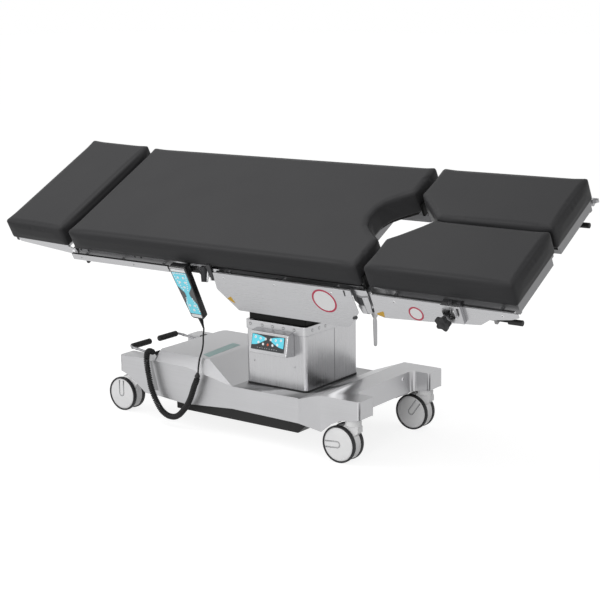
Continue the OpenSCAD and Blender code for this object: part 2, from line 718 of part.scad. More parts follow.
leg_inner_y = 3;
leg_chamfer = 118;
leg_bar_left = leg_swing_x + 40;
leg_outline = [[leg_left, -mat_half, mat_r], [leg_right, -mat_half, mat_r],
    [leg_right, -leg_inner_y - 4, mat_r], [leg_left + leg_chamfer, -leg_inner_y, 0],
    [leg_left, -leg_inner_y - leg_chamfer, 0]];

module leg_mat(far) color([0.16, 0.16, 0.17]) leg_side(far)
    cushion(leg_outline, [leg_left + leg_length * 0.5, -mat_width * 0.27], mat_thickness);

module leg_frame(far) color("silver") leg_side(far) {
    end = leg_right - 6;
    // Board under the mat
    board([[leg_left + 12, -bar_outer], [end, -bar_outer], [end, -16],
        [leg_left + leg_chamfer + 4, -16], [leg_left + 12, -leg_chamfer + 2]]);
    block([leg_bar_left, -bar_outer, bar_bottom + 8], [end, -bar_inner, board_top - board_thickness]);
    block([leg_bar_left + 60, -40, bar_bottom + 16], [end, -28, board_top - board_thickness]);
    block([end - 24, -bar_outer, bar_bottom + 12], [end, -28, board_top - board_thickness]);
    // Bracket that guides the pull handle
    difference() {
        block([guide_x, -release_y - 10, release_z - 9], [guide_x + 10, -release_y + 10, bar_bottom + 10]);
        pin_x(-release_y, release_z, release_rod_r + pin_fit, guide_x - cut, guide_x + 10 + cut);
    }
    // Swing pin with the washer that keeps it in the hinge block
    translate([leg_swing_x, -leg_swing_y, leg_hinge_z - 14 - 6])
        cylinder(r = swing_pin_r, h = board_top - board_thickness - leg_hinge_z + 20);
    translate([leg_swing_x, -leg_swing_y, leg_hinge_z - 14 - 6 - face_gap]) cylinder(r = 15, h = 6);
    // Side cover and accessory rail
    plate_y([[leg_left + 18, rail_top - 1], [leg_left + 7, -168], [leg_left + 41, -178.6], [leg_left + 208, -168],
        [leg_right - 131, -152], [leg_right - 95, -127], [leg_right - 20, -115], [leg_cover_tip, -104], [leg_cover_tip, rail_top - 1]],
        -leg_cover_inner - cover_sheet, -rail_outer);
    block([leg_left + 18, -rail_outer, rail_top - rail_height], [leg_right - 8, -rail_inner, rail_top]);
    for (x = [leg_left + 90, (leg_left + leg_right) / 2, leg_right - 60])
        pin_y(x, rail_top - rail_height / 2, spacer_r, -rail_inner, -bar_outer);
}

// Locking lever under each leg hinge, turned about a pin in the hinge block
module leg_lever(far) color("gainsboro") leg_side(far) {
    run = [lever_tip_x - lever_x, lever_y - lever_tip_y, lever_tip_z - lever_top_z];
    length = norm(run);
    translate([lever_x, -lever_y, leg_hinge_z - 36]) cylinder(r = 9, h = 22 - face_gap);
    translate([lever_x, -lever_y, lever_top_z]) rotate([0, acos(run[2] / length), atan2(run[1], run[0])]) {
        cylinder(r1 = 4, r2 = 6.8, h = length / 2);
        translate([0, 0, length / 2]) cylinder(r1 = 6.8, r2 = lever_end_r, h = length / 2);
        translate([0, 0, length]) sphere(lever_end_r);
        translate([0, 0, 61]) cylinder(r1 = 16, r2 = 7, h = 24);
    }
}

// Pull handles that free the leg sections, under their outer ends
release_y = 246;
release_z = bar_bottom - 40;
release_rod_r = 4;
guide_x = leg_right - 108;
module leg_release(far) color([0.08, 0.08, 0.08]) leg_side(far) {
    pin_x(-release_y, release_z, 9, leg_right - 64, leg_right - 17);
    pin_x(-release_y, release_z, release_rod_r, leg_right - 126, leg_right - 64);
}

// Clamp on the near leg's rail with its star knob
clamp_x = leg_left + 308;
clamp_half = 34;
knob_x = clamp_x - 25;
module rail_clamp() color("darkgray") on_top() difference() {
    union() {
        block([clamp_x - clamp_half, -clamp_outer - 14, rail_top - 57],
            [clamp_x + clamp_half, -clamp_outer - face_gap, rail_top + 8]);
        block([clamp_x - clamp_half, -clamp_outer - 14, rail_top + face_gap],
            [clamp_x + clamp_half, -rail_inner + 4, rail_top + 8]);
        block([clamp_x - clamp_half, -rail_inner + face_gap, rail_top - 6],
            [clamp_x + clamp_half, -rail_inner + 4, rail_top + 8]);
    }
    pin_y(knob_x, knob_z, knob_shaft_r + pin_fit, -clamp_outer - 14 - cut, -clamp_outer);
}

knob_shaft_r = 5;
module star_knob() color([0.08, 0.08, 0.08]) on_top() {
    pin_y(knob_x, knob_z, knob_shaft_r, -knob_face, -clamp_outer - 2);
    pin_y(knob_x, knob_z, knob_r, -knob_face - knob_deep, -knob_face);
    for (a = [0 : 72 : 288]) pin_y(knob_x + knob_r * cos(a), knob_z + knob_r * sin(a), lobe_r,
        -knob_face - knob_deep, -knob_face);
}

// Pull knob that locks the head section
lock_x = main_left + 20;
lock_pin_r = 3;
module head_lock() color([0.1, 0.1, 0.1]) on_top() {
    translate([lock_x, -bar_outer + 6, bar_bottom - 26]) cylinder(r = 7, h = 14);
    translate([lock_x, -bar_outer + 6, bar_bottom - 12]) cylinder(r = lock_pin_r, h = 12 + 22);
}

// Handset and the hook that carries it
handset_x = back_hinge_x - 138;
handset_width = 76;
handset_foot = 56;
handset_length = 228;

module at_handset() {
    on_top() translate([handset_x, -handset_outer + handset_thick / 2, handset_top_z]) children();
}

module handset() color([0.08, 0.08, 0.08]) at_handset() {
    hull() {
        for (x = [-1, 1]) {
            translate([x * (handset_width / 2 - 9), 0, -9]) rotate([90, 0, 0])
                cylinder(r = 9, h = handset_thick, center = true, $fn = blend_fn);
            translate([x * (handset_foot / 2 - 9), 0, -handset_length + 9]) rotate([90, 0, 0])
                cylinder(r = 9, h = handset_thick - 4, center = true, $fn = blend_fn);
        }
    }
    // Tapered relief round the cord
    translate([0, 0, 2 - handset_length]) rotate([0, 8, 0]) translate([0, 0, -52])
        cylinder(r1 = 3.5, r2 = 10, h = 52, $fn = 24);
}

module handset_holder() color([0.12, 0.12, 0.12]) on_top() {
    y = -handset_outer + handset_thick + face_gap;
    block([handset_x - 22, y, bar_bottom - 30], [handset_x + 22, y + 4, rail_top - 4]);
    block([handset_x - 16, y + 4, rail_top - 30], [handset_x + 16, -bar_outer, rail_top - 8]);
}

// Cord: a thin lead from the handset, then a curled stretch into the base
socket_y = base_half_width - 46;
socket_z = 233;
socket_r = 9;
lead_r = 3;
curl_r = 8.2;
wire_r = 2.8;
curls = 62;

module cord_socket() color([0.08, 0.08, 0.08]) on_floor() {
    pin_x(-socket_y, socket_z, 8, body_left - 8, body_left + 12);
    pin_x(-socket_y, socket_z, 12, body_left - 3, body_left - face_gap);
}

// Points of the lead and of the curled stretch's middle line, from the column's centre
lead_points = [[-318.1, -152.4, 349.8], [-318.5, -151, 347], [-318.7, -151, 341], [-319, -154, 319], [-313.5, -162, 296.4],
    [-305.3, -178, 275.6], [-295.1, -205, 250.4], [-282, -227, 232], [-272.6, -241, 213], [-271.1, -245.4, 204.3]];
curl_points = [[-271.15, -245.5, 204], [-272.5, -246, 195], [-279, -246.5, 179], [-286.6, -247, 164],
    [-294.4, -248, 141.4], [-304.3, -250, 116.1], [-319, -250.5, 91], [-338, -251, 68], [-358, -251, 49],
    [-381, -251, 38], [-411, -251, 38], [-438, -251, 51], [-457, -250, 71], [-471.5, -250, 94], [-487, -250, 129],
    [-495, -249, 162], [-503, -248, 197], [-511, -243, 222], [-518, -233, 239], [-525, -220, 247],
    [-529, -205, 247], [-530, -192, 241], [-528, -181, 235.5], [-523, -176, 233], [-516, -176, 233]];
// The cord lies beside the base, so its route moves with the base's side
cord_shift = base_half_width - 222;
lead_route = [for (i = [0 : len(lead_points) - 1]) lead_points[i] - [0, cord_shift * i / (len(lead_points) - 1), 0]];
curl_route = [for (p = curl_points) p - [0, cord_shift, 0]];

// A point and a direction on a route at t, where t counts its points, by a smooth cubic
function mix(a, b, c, d, f) = 0.5 * ((2 * b) + (c - a) * f + (2 * a - 5 * b + 4 * c - d) * f * f
    + (3 * b - a - 3 * c + d) * f * f * f);
function at(r, i) = r[min(max(i, 0), len(r) - 1)];
function along(r, t) = let (i = min(floor(t), len(r) - 2), f = t - i)
    mix(at(r, i - 1), at(r, i), at(r, i + 1), at(r, i + 2), f);
function unit(v) = v / norm(v);
function run(r, i) = i == 0 ? 0 : run(r, i - 1) + norm(r[i] - r[i - 1]);
function lengths(r) = [for (i = [0 : len(r) - 1]) [run(r, i), i]];
function heading(r, t) = unit(along(r, min(t + 0.02, len(r) - 1)) - along(r, max(t - 0.02, 0)));
reference = unit([1, 1, 1]);
function side_of(h) = unit(cross(h, reference));
function ring(c, h, r, n) = let (s = side_of(h), u = cross(s, h))
    [for (k = [0 : n - 1]) c + r * (cos(360 * k / n) * s + sin(360 * k / n) * u)];

// A tube through rings of n points, closed at both ends
module skin(rings, n) {
    m = len(rings);
    pts = [for (g = rings) for (p = g) p];
    sides = [for (k = [0 : m - 2]) for (i = [0 : n - 1]) for (f = [0, 1])
        let (j = (i + 1) % n, a = k * n)
        f == 0 ? [a + i, a + j, a + n + i] : [a + j, a + n + j, a + n + i]];
    first = [for (i = [1 : n - 2]) [0, i + 1, i]];
    last = [for (i = [1 : n - 2]) [(m - 1) * n, (m - 1) * n + i, (m - 1) * n + i + 1]];
    polyhedron(pts, concat(sides, first, last), convexity = 10);
}

module cord_lead() color([0.06, 0.06, 0.06]) on_floor() {
    steps = 40;
    last = len(lead_route) - 1;
    skin([for (k = [0 : steps]) let (t = last * k / steps) ring(along(lead_route, t), heading(lead_route, t), lead_r, 8)], 8);
}

// Middle line of the curled wire: it starts and ends straight on the route and winds between
curl_steps = curls * 8;
curl_last = len(curl_route) - 1;
curl_lengths = lengths(curl_route);
curl_start = 6;
curl_end = curl_lengths[curl_last][0] - 14;
function lead_in(k) = min(1, k / 10, (curl_steps - k) / 10);
function curl_point(k) = let (t = lookup(curl_start + (curl_end - curl_start) * k / curl_steps, curl_lengths),
    h = heading(curl_route, t), s = side_of(h), u = cross(s, h), a = 45 * k)
    along(curl_route, t) + curl_r * lead_in(k) * (cos(a) * s + sin(a) * u);
curl_line = concat([along(curl_route, 0)], [for (k = [0 : curl_steps]) curl_point(k)], [along(curl_route, curl_last)]);
curl_count = len(curl_line);
function curl_heading(k) = k == 0 ? heading(curl_route, 0)
    : k == curl_count - 1 ? heading(curl_route, curl_last)
    : unit(curl_line[k + 1] - curl_line[k - 1]);
curl_gap = min([for (k = [0 : curl_count - 6]) for (j = [k + 5 : curl_count - 1])
    norm(curl_line[k] - curl_line[j])]) - 2 * wire_r;
echo(str("Least gap of the curled cord to itself: ", curl_gap, ", middle line ", curl_lengths[curl_last][0]));

module cord_curl() color([0.06, 0.06, 0.06]) on_floor()
    skin([for (k = [0 : curl_count - 1]) ring(curl_line[k], curl_heading(k), wire_r, 6)], 6);

base_cover();
base_chassis();
undertray();
column_cover();
column_collar();
column_seal();
control_box();
control_screen();
cord_socket();
battery_pack();
lift_motor();
caster_fork(1);  // caster_fork_1
caster_fork(2);  // caster_fork_2
caster_fork(3);  // caster_fork_3
caster_fork(4);  // caster_fork_4
caster_wheel(1);  // caster_wheel_1
caster_wheel(2);  // caster_wheel_2
caster_wheel(3);  // caster_wheel_3
caster_wheel(4);  // caster_wheel_4
caster_tyre(1);  // caster_tyre_1
caster_tyre(2);  // caster_tyre_2
caster_tyre(3);  // caster_tyre_3
caster_tyre(4);  // caster_tyre_4
pedal_lever(-1);  // pedal_lever_1
pedal_lever(1);  // pedal_lever_2
pedal_grip(-1);  // pedal_grip_1
pedal_grip(1);  // pedal_grip_2
column_mid();
column_top();
tilt_yoke();
cross_block();
seat_frame();
seat_side_covers();
seat_rails();
seat_board();
seat_mat();
back_frame();
back_rails();
back_board();
back_mat();
mat_fold();
head_frame();
head_mat();
head_lock();
leg_hinge(0);  // leg_hinge_near
leg_hinge(1);  // leg_hinge_far
leg_frame(0);  // leg_frame_near
leg_frame(1);  // leg_frame_far
leg_mat(0);  // leg_mat_near
leg_mat(1);  // leg_mat_far
leg_lever(0);  // leg_lever_near
leg_lever(1);  // leg_lever_far
leg_release(0);  // leg_release_near
leg_release(1);  // leg_release_far
rail_clamp();
star_knob();
handset();
handset_holder();
cord_lead();
cord_curl();
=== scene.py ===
"""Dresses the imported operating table: every visible piece, its finish, the light and the camera."""

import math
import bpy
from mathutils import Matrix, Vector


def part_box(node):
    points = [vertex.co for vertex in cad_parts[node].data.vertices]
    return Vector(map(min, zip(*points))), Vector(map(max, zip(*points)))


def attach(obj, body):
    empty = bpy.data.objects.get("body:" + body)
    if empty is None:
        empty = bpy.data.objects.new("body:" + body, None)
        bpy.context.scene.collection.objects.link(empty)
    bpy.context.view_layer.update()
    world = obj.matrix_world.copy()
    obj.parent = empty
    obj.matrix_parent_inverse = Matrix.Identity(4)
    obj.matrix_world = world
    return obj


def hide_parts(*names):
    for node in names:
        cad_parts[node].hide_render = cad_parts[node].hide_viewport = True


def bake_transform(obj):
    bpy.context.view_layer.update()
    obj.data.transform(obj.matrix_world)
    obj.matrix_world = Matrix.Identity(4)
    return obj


bl_info = {
    "name": "Operating table",
    "version": (1, 0, 0),
    "blender": (4, 5, 0),
    "location": "View3D > Sidebar > Operating table",
    "description": "Builds the pieces, finishes and stage of an electric operating table",
    "category": "Object",
}

import bmesh
import bpy
from mathutils import Matrix, Vector

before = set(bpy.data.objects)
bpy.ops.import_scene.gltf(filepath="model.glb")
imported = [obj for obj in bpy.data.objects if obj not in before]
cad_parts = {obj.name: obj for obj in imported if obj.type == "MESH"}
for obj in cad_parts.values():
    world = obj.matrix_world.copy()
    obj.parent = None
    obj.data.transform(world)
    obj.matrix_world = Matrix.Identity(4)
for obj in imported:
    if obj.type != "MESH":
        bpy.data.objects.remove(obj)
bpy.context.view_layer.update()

# Where the drawing's frames stand in the part's frame, in metres
_low, _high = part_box("column_cover")
FLOOR = Matrix.Translation(((_low.x + _high.x) / 2, (_low.y + _high.y) / 2, 0))
TILT = math.radians(28)
# From the tilt axis to the top side of the mats
RISE = 0.1065
TILT_AXIS_HEIGHT = 0.7
_rise = Vector((0, -RISE * math.sin(TILT), TILT_AXIS_HEIGHT + RISE * math.cos(TILT)))
TOP = FLOOR @ Matrix.Translation(_rise) @ Matrix.Rotation(TILT, 4, "X")
MM = Matrix.Scale(0.001, 4)
HEAD_PIVOT = Vector((-0.849, 0, -0.0966))
HEAD_TURN = Matrix.Rotation(math.radians(2), 4, "Y")
HEAD = TOP @ Matrix.Translation(HEAD_PIVOT) @ HEAD_TURN @ Matrix.Translation(-HEAD_PIVOT)
FAR = Matrix.Diagonal((1, -1, 1, 1))
SIDES = (("near", Matrix()), ("far", FAR))


# Materials

def node_group(name, inputs, outputs):
    group = bpy.data.node_groups.new(name, "ShaderNodeTree")
    for label, kind, default in inputs:
        socket = group.interface.new_socket(label, in_out="INPUT", socket_type=kind)
        if default is not None:
            socket.default_value = default
    for label, kind in outputs:
        group.interface.new_socket(label, in_out="OUTPUT", socket_type=kind)
    return group, group.nodes.new("NodeGroupInput"), group.nodes.new("NodeGroupOutput")


def stretched(group, source, scale):
    """Coordinates multiplied by one number for each axis"""
    multiply = group.nodes.new("ShaderNodeVectorMath")
    multiply.operation = "MULTIPLY"
    group.links.new(source, multiply.inputs[0])
    group.links.new(scale, multiply.inputs[1])
    return multiply.outputs[0]


def noise(group, vector, scale, detail, roughness=0.5):
    tex = group.nodes.new("ShaderNodeTexNoise")
    tex.inputs["Scale"].default_value = scale
    tex.inputs["Detail"].default_value = detail
    tex.inputs["Roughness"].default_value = roughness
    group.links.new(vector, tex.inputs["Vector"])
    return tex.outputs["Fac"]


def spread(group, value, low, high, new_low, new_high):
    """A value taken from one range to another"""
    node = group.nodes.new("ShaderNodeMapRange")
    group.links.new(value, node.inputs["Value"])
    for label, number in (("From Min", low), ("From Max", high), ("To Min", new_low), ("To Max", new_high)):
        node.inputs[label].default_value = number
    return node.outputs["Result"]


def arithmetic(group, kind, a, b):
    node = group.nodes.new("ShaderNodeMath")
    node.operation = kind
    for socket, value in zip(node.inputs, (a, b)):
        if isinstance(value, (int, float)):
            socket.default_value = value
        else:
            group.links.new(value, socket)
    return node.outputs[0]


def tinted(group, colour, value, low, high):
    """A colour made darker or lighter by a value from 0 to 1"""
    node = group.nodes.new("ShaderNodeMix")
    node.data_type = "RGBA"
    node.blend_type = "MULTIPLY"
    node.inputs[0].default_value = 1
    shade = spread(group, value, 0, 1, low, high)
    joined = group.nodes.new("ShaderNodeCombineColor")
    for socket in joined.inputs[:3]:
        group.links.new(shade, socket)
    group.links.new(colour, node.inputs[6])
    group.links.new(joined.outputs[0], node.inputs[7])
    return node.outputs[2]


def build_brushed_group():
    """Fine lines along one direction, with soft stains from cleaning"""
    group, given, out = node_group(
        "Brushed lines",
        [("Colour", "NodeSocketColor", None), ("Stretch", "NodeSocketVector", None),
         ("Rough", "NodeSocketFloat", 0.3)],
        [("Colour", "NodeSocketColor"), ("Rough", "NodeSocketFloat"), ("Height", "NodeSocketFloat")],
    )
    coords = group.nodes.new("ShaderNodeTexCoord").outputs["Object"]
    lines = noise(group, stretched(group, coords, given.outputs["Stretch"]), 1.0, 3, 0.6)
    stains = noise(group, coords, 5.0, 3, 0.55)
    both = arithmetic(group, "ADD", arithmetic(group, "MULTIPLY", lines, 0.7),
                      arithmetic(group, "MULTIPLY", stains, 0.3))
    group.links.new(tinted(group, given.outputs["Colour"], both, 0.8, 1.2), out.inputs["Colour"])
    rough = arithmetic(group, "MULTIPLY", given.outputs["Rough"], spread(group, both, 0.3, 0.7, 0.75, 1.25))
    group.links.new(rough, out.inputs["Rough"])
    group.links.new(lines, out.inputs["Height"])
    return group


def build_leather_group():
    """Fine pebbled grain of coated upholstery with faint broad waves"""
    group, given, out = node_group(
        "Coated grain",
        [("Colour", "NodeSocketColor", None), ("Rough", "NodeSocketFloat", 0.5)],
        [("Colour", "NodeSocketColor"), ("Rough", "NodeSocketFloat"), ("Height", "NodeSocketFloat")],
    )
    coords = group.nodes.new("ShaderNodeTexCoord").outputs["Object"]
    cells = group.nodes.new("ShaderNodeTexVoronoi")
    cells.feature = "SMOOTH_F1"
    cells.inputs["Scale"].default_value = 900
    group.links.new(coords, cells.inputs["Vector"])
    fine = noise(group, coords, 1500, 2)
    broad = noise(group, coords, 6, 2)
    grain = arithmetic(group, "ADD", cells.outputs["Distance"], arithmetic(group, "MULTIPLY", fine, 0.3))
    group.links.new(tinted(group, given.outputs["Colour"], broad, 0.9, 1.12), out.inputs["Colour"])
    rough = arithmetic(group, "MULTIPLY", given.outputs["Rough"],
                       spread(group, broad, 0.3, 0.7, 0.92, 1.08))
    group.links.new(rough, out.inputs["Rough"])
    group.links.new(arithmetic(group, "ADD", arithmetic(group, "MULTIPLY", grain, 0.25), broad),
                    out.inputs["Height"])
    return group


def build_moulded_group():
    """Fine spark-eroded texture of moulded plastic, with dust in faint patches"""
    group, given, out = node_group(
        "Moulded surface",
        [("Colour", "NodeSocketColor", None), ("Rough", "NodeSocketFloat", 0.4),
         ("Size", "NodeSocketFloat", 1.0)],
        [("Colour", "NodeSocketColor"), ("Rough", "NodeSocketFloat"), ("Height", "NodeSocketFloat")],
    )
    coords = group.nodes.new("ShaderNodeTexCoord").outputs["Object"]
    fine = noise(group, coords, 1100, 3)
    patches = noise(group, coords, 14, 4, 0.6)
    group.links.new(tinted(group, given.outputs["Colour"], patches, 0.9, 1.1), out.inputs["Colour"])
    rough = arithmetic(group, "MULTIPLY", given.outputs["Rough"],
                       spread(group, patches, 0.3, 0.7, 0.85, 1.15))
    group.links.new(rough, out.inputs["Rough"])
    group.links.new(arithmetic(group, "MULTIPLY", fine, given.outputs["Size"]), out.inputs["Height"])
    return group


GROUPS = {}
FINISH = {}


def finish_of(name, kind, colour, rough, metallic=0.0, bump=0.02, distance=0.0005, **extra):
    """A material: its pattern comes from a group, its constants stand on the shader"""
    material = bpy.data.materials.new(name)
    material.use_nodes = True
    tree = material.node_tree
    shader = tree.nodes["Principled BSDF"]
    shader.inputs["Metallic"].default_value = metallic
    pattern = tree.nodes.new("ShaderNodeGroup")
    pattern.node_tree = GROUPS[kind]
    pattern.inputs["Colour"].default_value = (*colour, 1)
    pattern.inputs["Rough"].default_value = rough
    if "stretch" in extra:
        pattern.inputs["Stretch"].default_value = extra.pop("stretch")
    tree.links.new(pattern.outputs["Colour"], shader.inputs["Base Color"])
    tree.links.new(pattern.outputs["Rough"], shader.inputs["Roughness"])
    if bump:
        node = tree.nodes.new("ShaderNodeBump")
        node.inputs["Strength"].default_value = bump
        node.inputs["Distance"].default_value = distance
        tree.links.new(pattern.outputs["Height"], node.inputs["Height"])
        tree.links.new(node.outputs["Normal"], shader.inputs["Normal"])
    for label, value in extra.items():
        shader.inputs[label.replace("_", " ")].default_value = value
    FINISH[name] = material


# Noise scales of the brushed lines along each axis
ALONG_X = (6, 900, 900)
ALONG_Z = (900, 900, 6)


def darker(colour, share):
    return tuple(c * share for c in colour)


def build_finishes(colours):
    GROUPS["brushed"] = build_brushed_group()
    GROUPS["leather"] = build_leather_group()
    GROUPS["moulded"] = build_moulded_group()
    steel = tuple(colours.steel)
    glow = tuple(colours.screen)
    # Name, colour, roughness, bump, direction of the lines
    for name, colour, rough, bump, stretch in (
        ("plate_steel", steel, 0.3, 0.06, ALONG_X),
        ("base_steel", steel, 0.42, 0.06, ALONG_X),
        # Next: the steel darkened to 0.6, painted shade for the flat plate under the table top
        ("painted_shade_plate_steel", darker(steel, 0.6), 0.42, 0.06, ALONG_X),
        ("column_steel", steel, 0.3, 0.06, ALONG_Z),
        ("rail_steel", darker(steel, 0.95), 0.24, 0.03, ALONG_X),
        ("strip_steel", darker(steel, 0.85), 0.34, 0.03, ALONG_X),
        # Next: the steel darkened to half, painted shade for faces that lie in shadow
        ("cheek_steel", darker(steel, 0.5), 0.36, 0.05, ALONG_Z),
    ):
        finish_of(name, "brushed", colour, rough, 1.0, bump, stretch=stretch)
    # Name, colour, roughness, metallic, bump
    for name, colour, rough, metallic, bump in (
        ("frame_steel", (0.22, 0.22, 0.225), 0.42, 0.9, 0.05),
        ("bright_steel", (0.72, 0.72, 0.73), 0.16, 1.0, 0.0),
        ("rod_steel", (0.3, 0.3, 0.31), 0.25, 1.0, 0.0),
        ("lever_steel", (0.36, 0.36, 0.37), 0.4, 1.0, 0.02),
        ("dark_metal", (0.03, 0.03, 0.033), 0.5, 0.0, 0.06),
        ("gloss_black", (0.01, 0.01, 0.011), 0.22, 0.0, 0.0),
        ("caster_white", (0.97, 0.97, 0.975), 0.35, 0.0, 0.03),
        ("caster_line", (0.16, 0.16, 0.17), 0.5, 0.0, 0.0),
        ("teal_film", (0.2, 0.43, 0.41), 0.35, 0.0, 0.0),
        ("mark_white", (0.97, 0.97, 0.97), 0.45, 0.0, 0.0),
        ("mark_red", (0.55, 0.04, 0.09), 0.45, 0.0, 0.0),
        ("mark_amber", (0.72, 0.42, 0.03), 0.4, 0.0, 0.0),
        ("icon_orange", (0.8, 0.12, 0.04), 0.2, 0.0, 0.0),
    ):
        finish_of(name, "moulded", colour, rough, metallic, bump)
    # Black parts with a weak mirror: name, colour, roughness, bump, specular level
    for name, colour, rough, bump, mirror in (
        ("board_black", (0.004, 0.004, 0.004), 0.55, 0.05, 0.15),
        ("black_plastic", (0.014, 0.014, 0.015), 0.5, 0.1, 0.35),
        ("grip_rubber", (0.014, 0.014, 0.014), 0.6, 0.2, 0.35),
        ("tray_black", (0.01, 0.01, 0.01), 0.5, 0.08, 0.3),
        ("cord_rubber", (0.007, 0.007, 0.0075), 0.5, 0.05, 0.35),
        ("tread_rubber", (0.022, 0.022, 0.024), 0.6, 0.15, 0.35),
    ):
        finish_of(name, "moulded", colour, rough, bump=bump, Specular_IOR_Level=mirror)
    finish_of("upholstery", "leather", tuple(colours.mat), 0.5, 0.0, 0.12, 0.0004, Specular_IOR_Level=0.12)
    finish_of("screen_dark", "moulded", (0.01, 0.014, 0.018), 0.12, 0.0, 0.0, Coat_Weight=0.5)
    finish_of("screen_cyan", "moulded", glow, 0.15, 0.0, 0.0, Coat_Weight=0.5,
              Emission_Color=(*glow, 1), Emission_Strength=0.35)
    # White icons and bands with a faint painted glow
    finish_of("painted_glow_white", "moulded", (0.85, 0.87, 0.88), 0.2, 0.0, 0.0,
              Emission_Color=(1, 1, 1, 1), Emission_Strength=0.15)


# Mesh tools

def rounded(points, radii, steps=6):
    """A closed outline with its corners turned into arcs"""
    made = []
    count = len(points)
    for i, point in enumerate(points):
        radius = radii[i] if isinstance(radii, (list, tuple)) else radii
        here = Vector(point)
        before, after = Vector(points[i - 1]), Vector(points[(i + 1) % count])
        if radius <= 0:
            made.append(here)
            continue
        a, b = (before - here).normalized(), (after - here).normalized()
        half = a.angle(b) / 2
        if half > math.radians(88):
            made.append(here)
            continue
        reach = min(radius / math.tan(half), (before - here).length * 0.49, (after - here).length * 0.49)
        radius = reach * math.tan(half)
        centre = here + (a + b).normalized() * (radius / math.sin(half))
        start, end = here + a * reach - centre, here + b * reach - centre
        turn = math.atan2(start.x * end.y - start.y * end.x, start.dot(end))
        for k in range(steps + 1):
            angle = turn * k / steps
            c, s = math.cos(angle), math.sin(angle)
            made.append(centre + Vector((start.x * c - start.y * s, start.x * s + start.y * c)))
    return made


def prism(bm, outline, low, high, axis="z", index=0):
    """An outline carried along one axis; the outline lies in the other two, in X, Y, Z order"""
    place = {
        "z": lambda p: (p[0], p[1], low),
        "y": lambda p: (p[0], low, p[1]),
        "x": lambda p: (low, p[0], p[1]),
    }[axis]
    step = {"z": (0, 0, high - low), "y": (0, high - low, 0), "x": (high - low, 0, 0)}[axis]
    verts = [bm.verts.new(place(p)) for p in outline]
    face = bm.faces.new(verts)
    made = bmesh.ops.extrude_face_region(bm, geom=[face])
    moved = [g for g in made["geom"] if isinstance(g, bmesh.types.BMVert)]
    bmesh.ops.translate(bm, verts=moved, vec=step)
    faces = {f for v in verts + moved for f in v.link_faces}
    bmesh.ops.recalc_face_normals(bm, faces=list(faces))
    for f in faces:
        f.material_index = index


def block(bm, low, high, index=0):
    low, high = Vector(low), Vector(high)
    size = high - low
    place = Matrix.Translation((low + high) / 2) @ Matrix.Diagonal((*size, 1))
    made = bmesh.ops.create_cube(bm, size=1, matrix=place)
    faces = {f for v in made["verts"] for f in v.link_faces}
    for f in faces:
        f.material_index = index


def rod(bm, start, end, r1, r2=None, segments=32, index=0):
    start, end = Vector(start), Vector(end)
    axis = end - start
    turn = axis.to_track_quat("Z", "Y").to_matrix().to_4x4()
    made = bmesh.ops.create_cone(
        bm, cap_ends=True, segments=segments, radius1=r1, radius2=r1 if r2 is None else r2,
        depth=axis.length, matrix=Matrix.Translation((start + end) / 2) @ turn)
    faces = {f for v in made["verts"] for f in v.link_faces}
    for f in faces:
        f.material_index = index


def ball(bm, centre, radius, index=0):
    made = bmesh.ops.create_uvsphere(bm, u_segments=24, v_segments=16, radius=radius,
                                     matrix=Matrix.Translation(centre))
    for f in {f for v in made["verts"] for f in v.link_faces}:
        f.material_index = index


def lathe(bm, profile, centre, axis, segments=48, index=0):
    """A profile of radius and height turned about an axis"""
    turn = Vector(axis).to_track_quat("Z", "Y").to_matrix().to_4x4()
    place = Matrix.Translation(centre) @ turn
    verts = [bm.verts.new(place @ Vector((r, 0, h))) for r, h in profile]
    edges = [bm.edges.new(pair) for pair in zip(verts, verts[1:])]
    bmesh.ops.spin(bm, geom=verts + edges, cent=centre, axis=place.to_3x3() @ Vector((0, 0, 1)),
                   dvec=(0, 0, 0), angle=2 * math.pi, steps=segments, use_merge=True)
    faces = {f for v in verts for f in v.link_faces}
    seen = set(faces)
    todo = list(faces)
    while todo:
        for e in todo.pop().edges:
            for f in e.link_faces:
                if f not in seen:
                    seen.add(f)
                    todo.append(f)
    bmesh.ops.remove_doubles(bm, verts=list({v for f in seen for v in f.verts}), dist=0.001)
    seen = [f for f in seen if f.is_valid]
    bmesh.ops.recalc_face_normals(bm, faces=seen)
    for f in seen:
        f.material_index = index


def soften(bm, width, segments=2, angle=30):
    """Rounds the sharp edges"""
    bmesh.ops.remove_doubles(bm, verts=bm.verts, dist=0.0005)
    limit = math.radians(angle)
    edges = [e for e in bm.edges if len(e.link_faces) == 2 and e.calc_face_angle(0) > limit]
    if edges:
        bmesh.ops.bevel(bm, geom=edges, offset=width, offset_type="OFFSET", segments=segments, profile=0.5,
                        affect="EDGES", clamp_overlap=True, material=-1)


def place_piece(bm, name, matrix, materials, body, replaces=(), sharp=38, millimetres=True):
    """Puts a finished mesh in the part's frame and lets it ride on its body"""
    full = matrix @ MM if millimetres else matrix
    bmesh.ops.transform(bm, matrix=full, verts=bm.verts)
    if full.determinant() < 0:
        bmesh.ops.reverse_faces(bm, faces=bm.faces)
    for f in bm.faces:
        f.smooth = True
    for e in bm.edges:
        e.smooth = not (len(e.link_faces) == 2 and e.calc_face_angle(0) > math.radians(sharp))
    mesh = bpy.data.meshes.new(name)
    bm.to_mesh(mesh)
    bm.free()
    piece = adopt(mesh, name, materials, body, replaces)
    normals = piece.modifiers.new("normals", "WEIGHTED_NORMAL")
    normals.keep_sharp = True
    return piece


def adopt(mesh, name, materials, body, replaces=()):
    for label in [materials] if isinstance(materials, str) else materials:
        mesh.materials.append(FINISH[label])
    piece = bpy.data.objects.new(name, mesh)
    bpy.context.scene.collection.objects.link(piece)
    if body:
        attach(piece, body)
    if replaces:
        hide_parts(*([replaces] if isinstance(replaces, str) else replaces))
    return piece


def evaluated(piece):
    """A mesh of its own with the piece's modifiers applied"""
    return bpy.data.meshes.new_from_object(piece.evaluated_get(bpy.context.evaluated_depsgraph_get()))


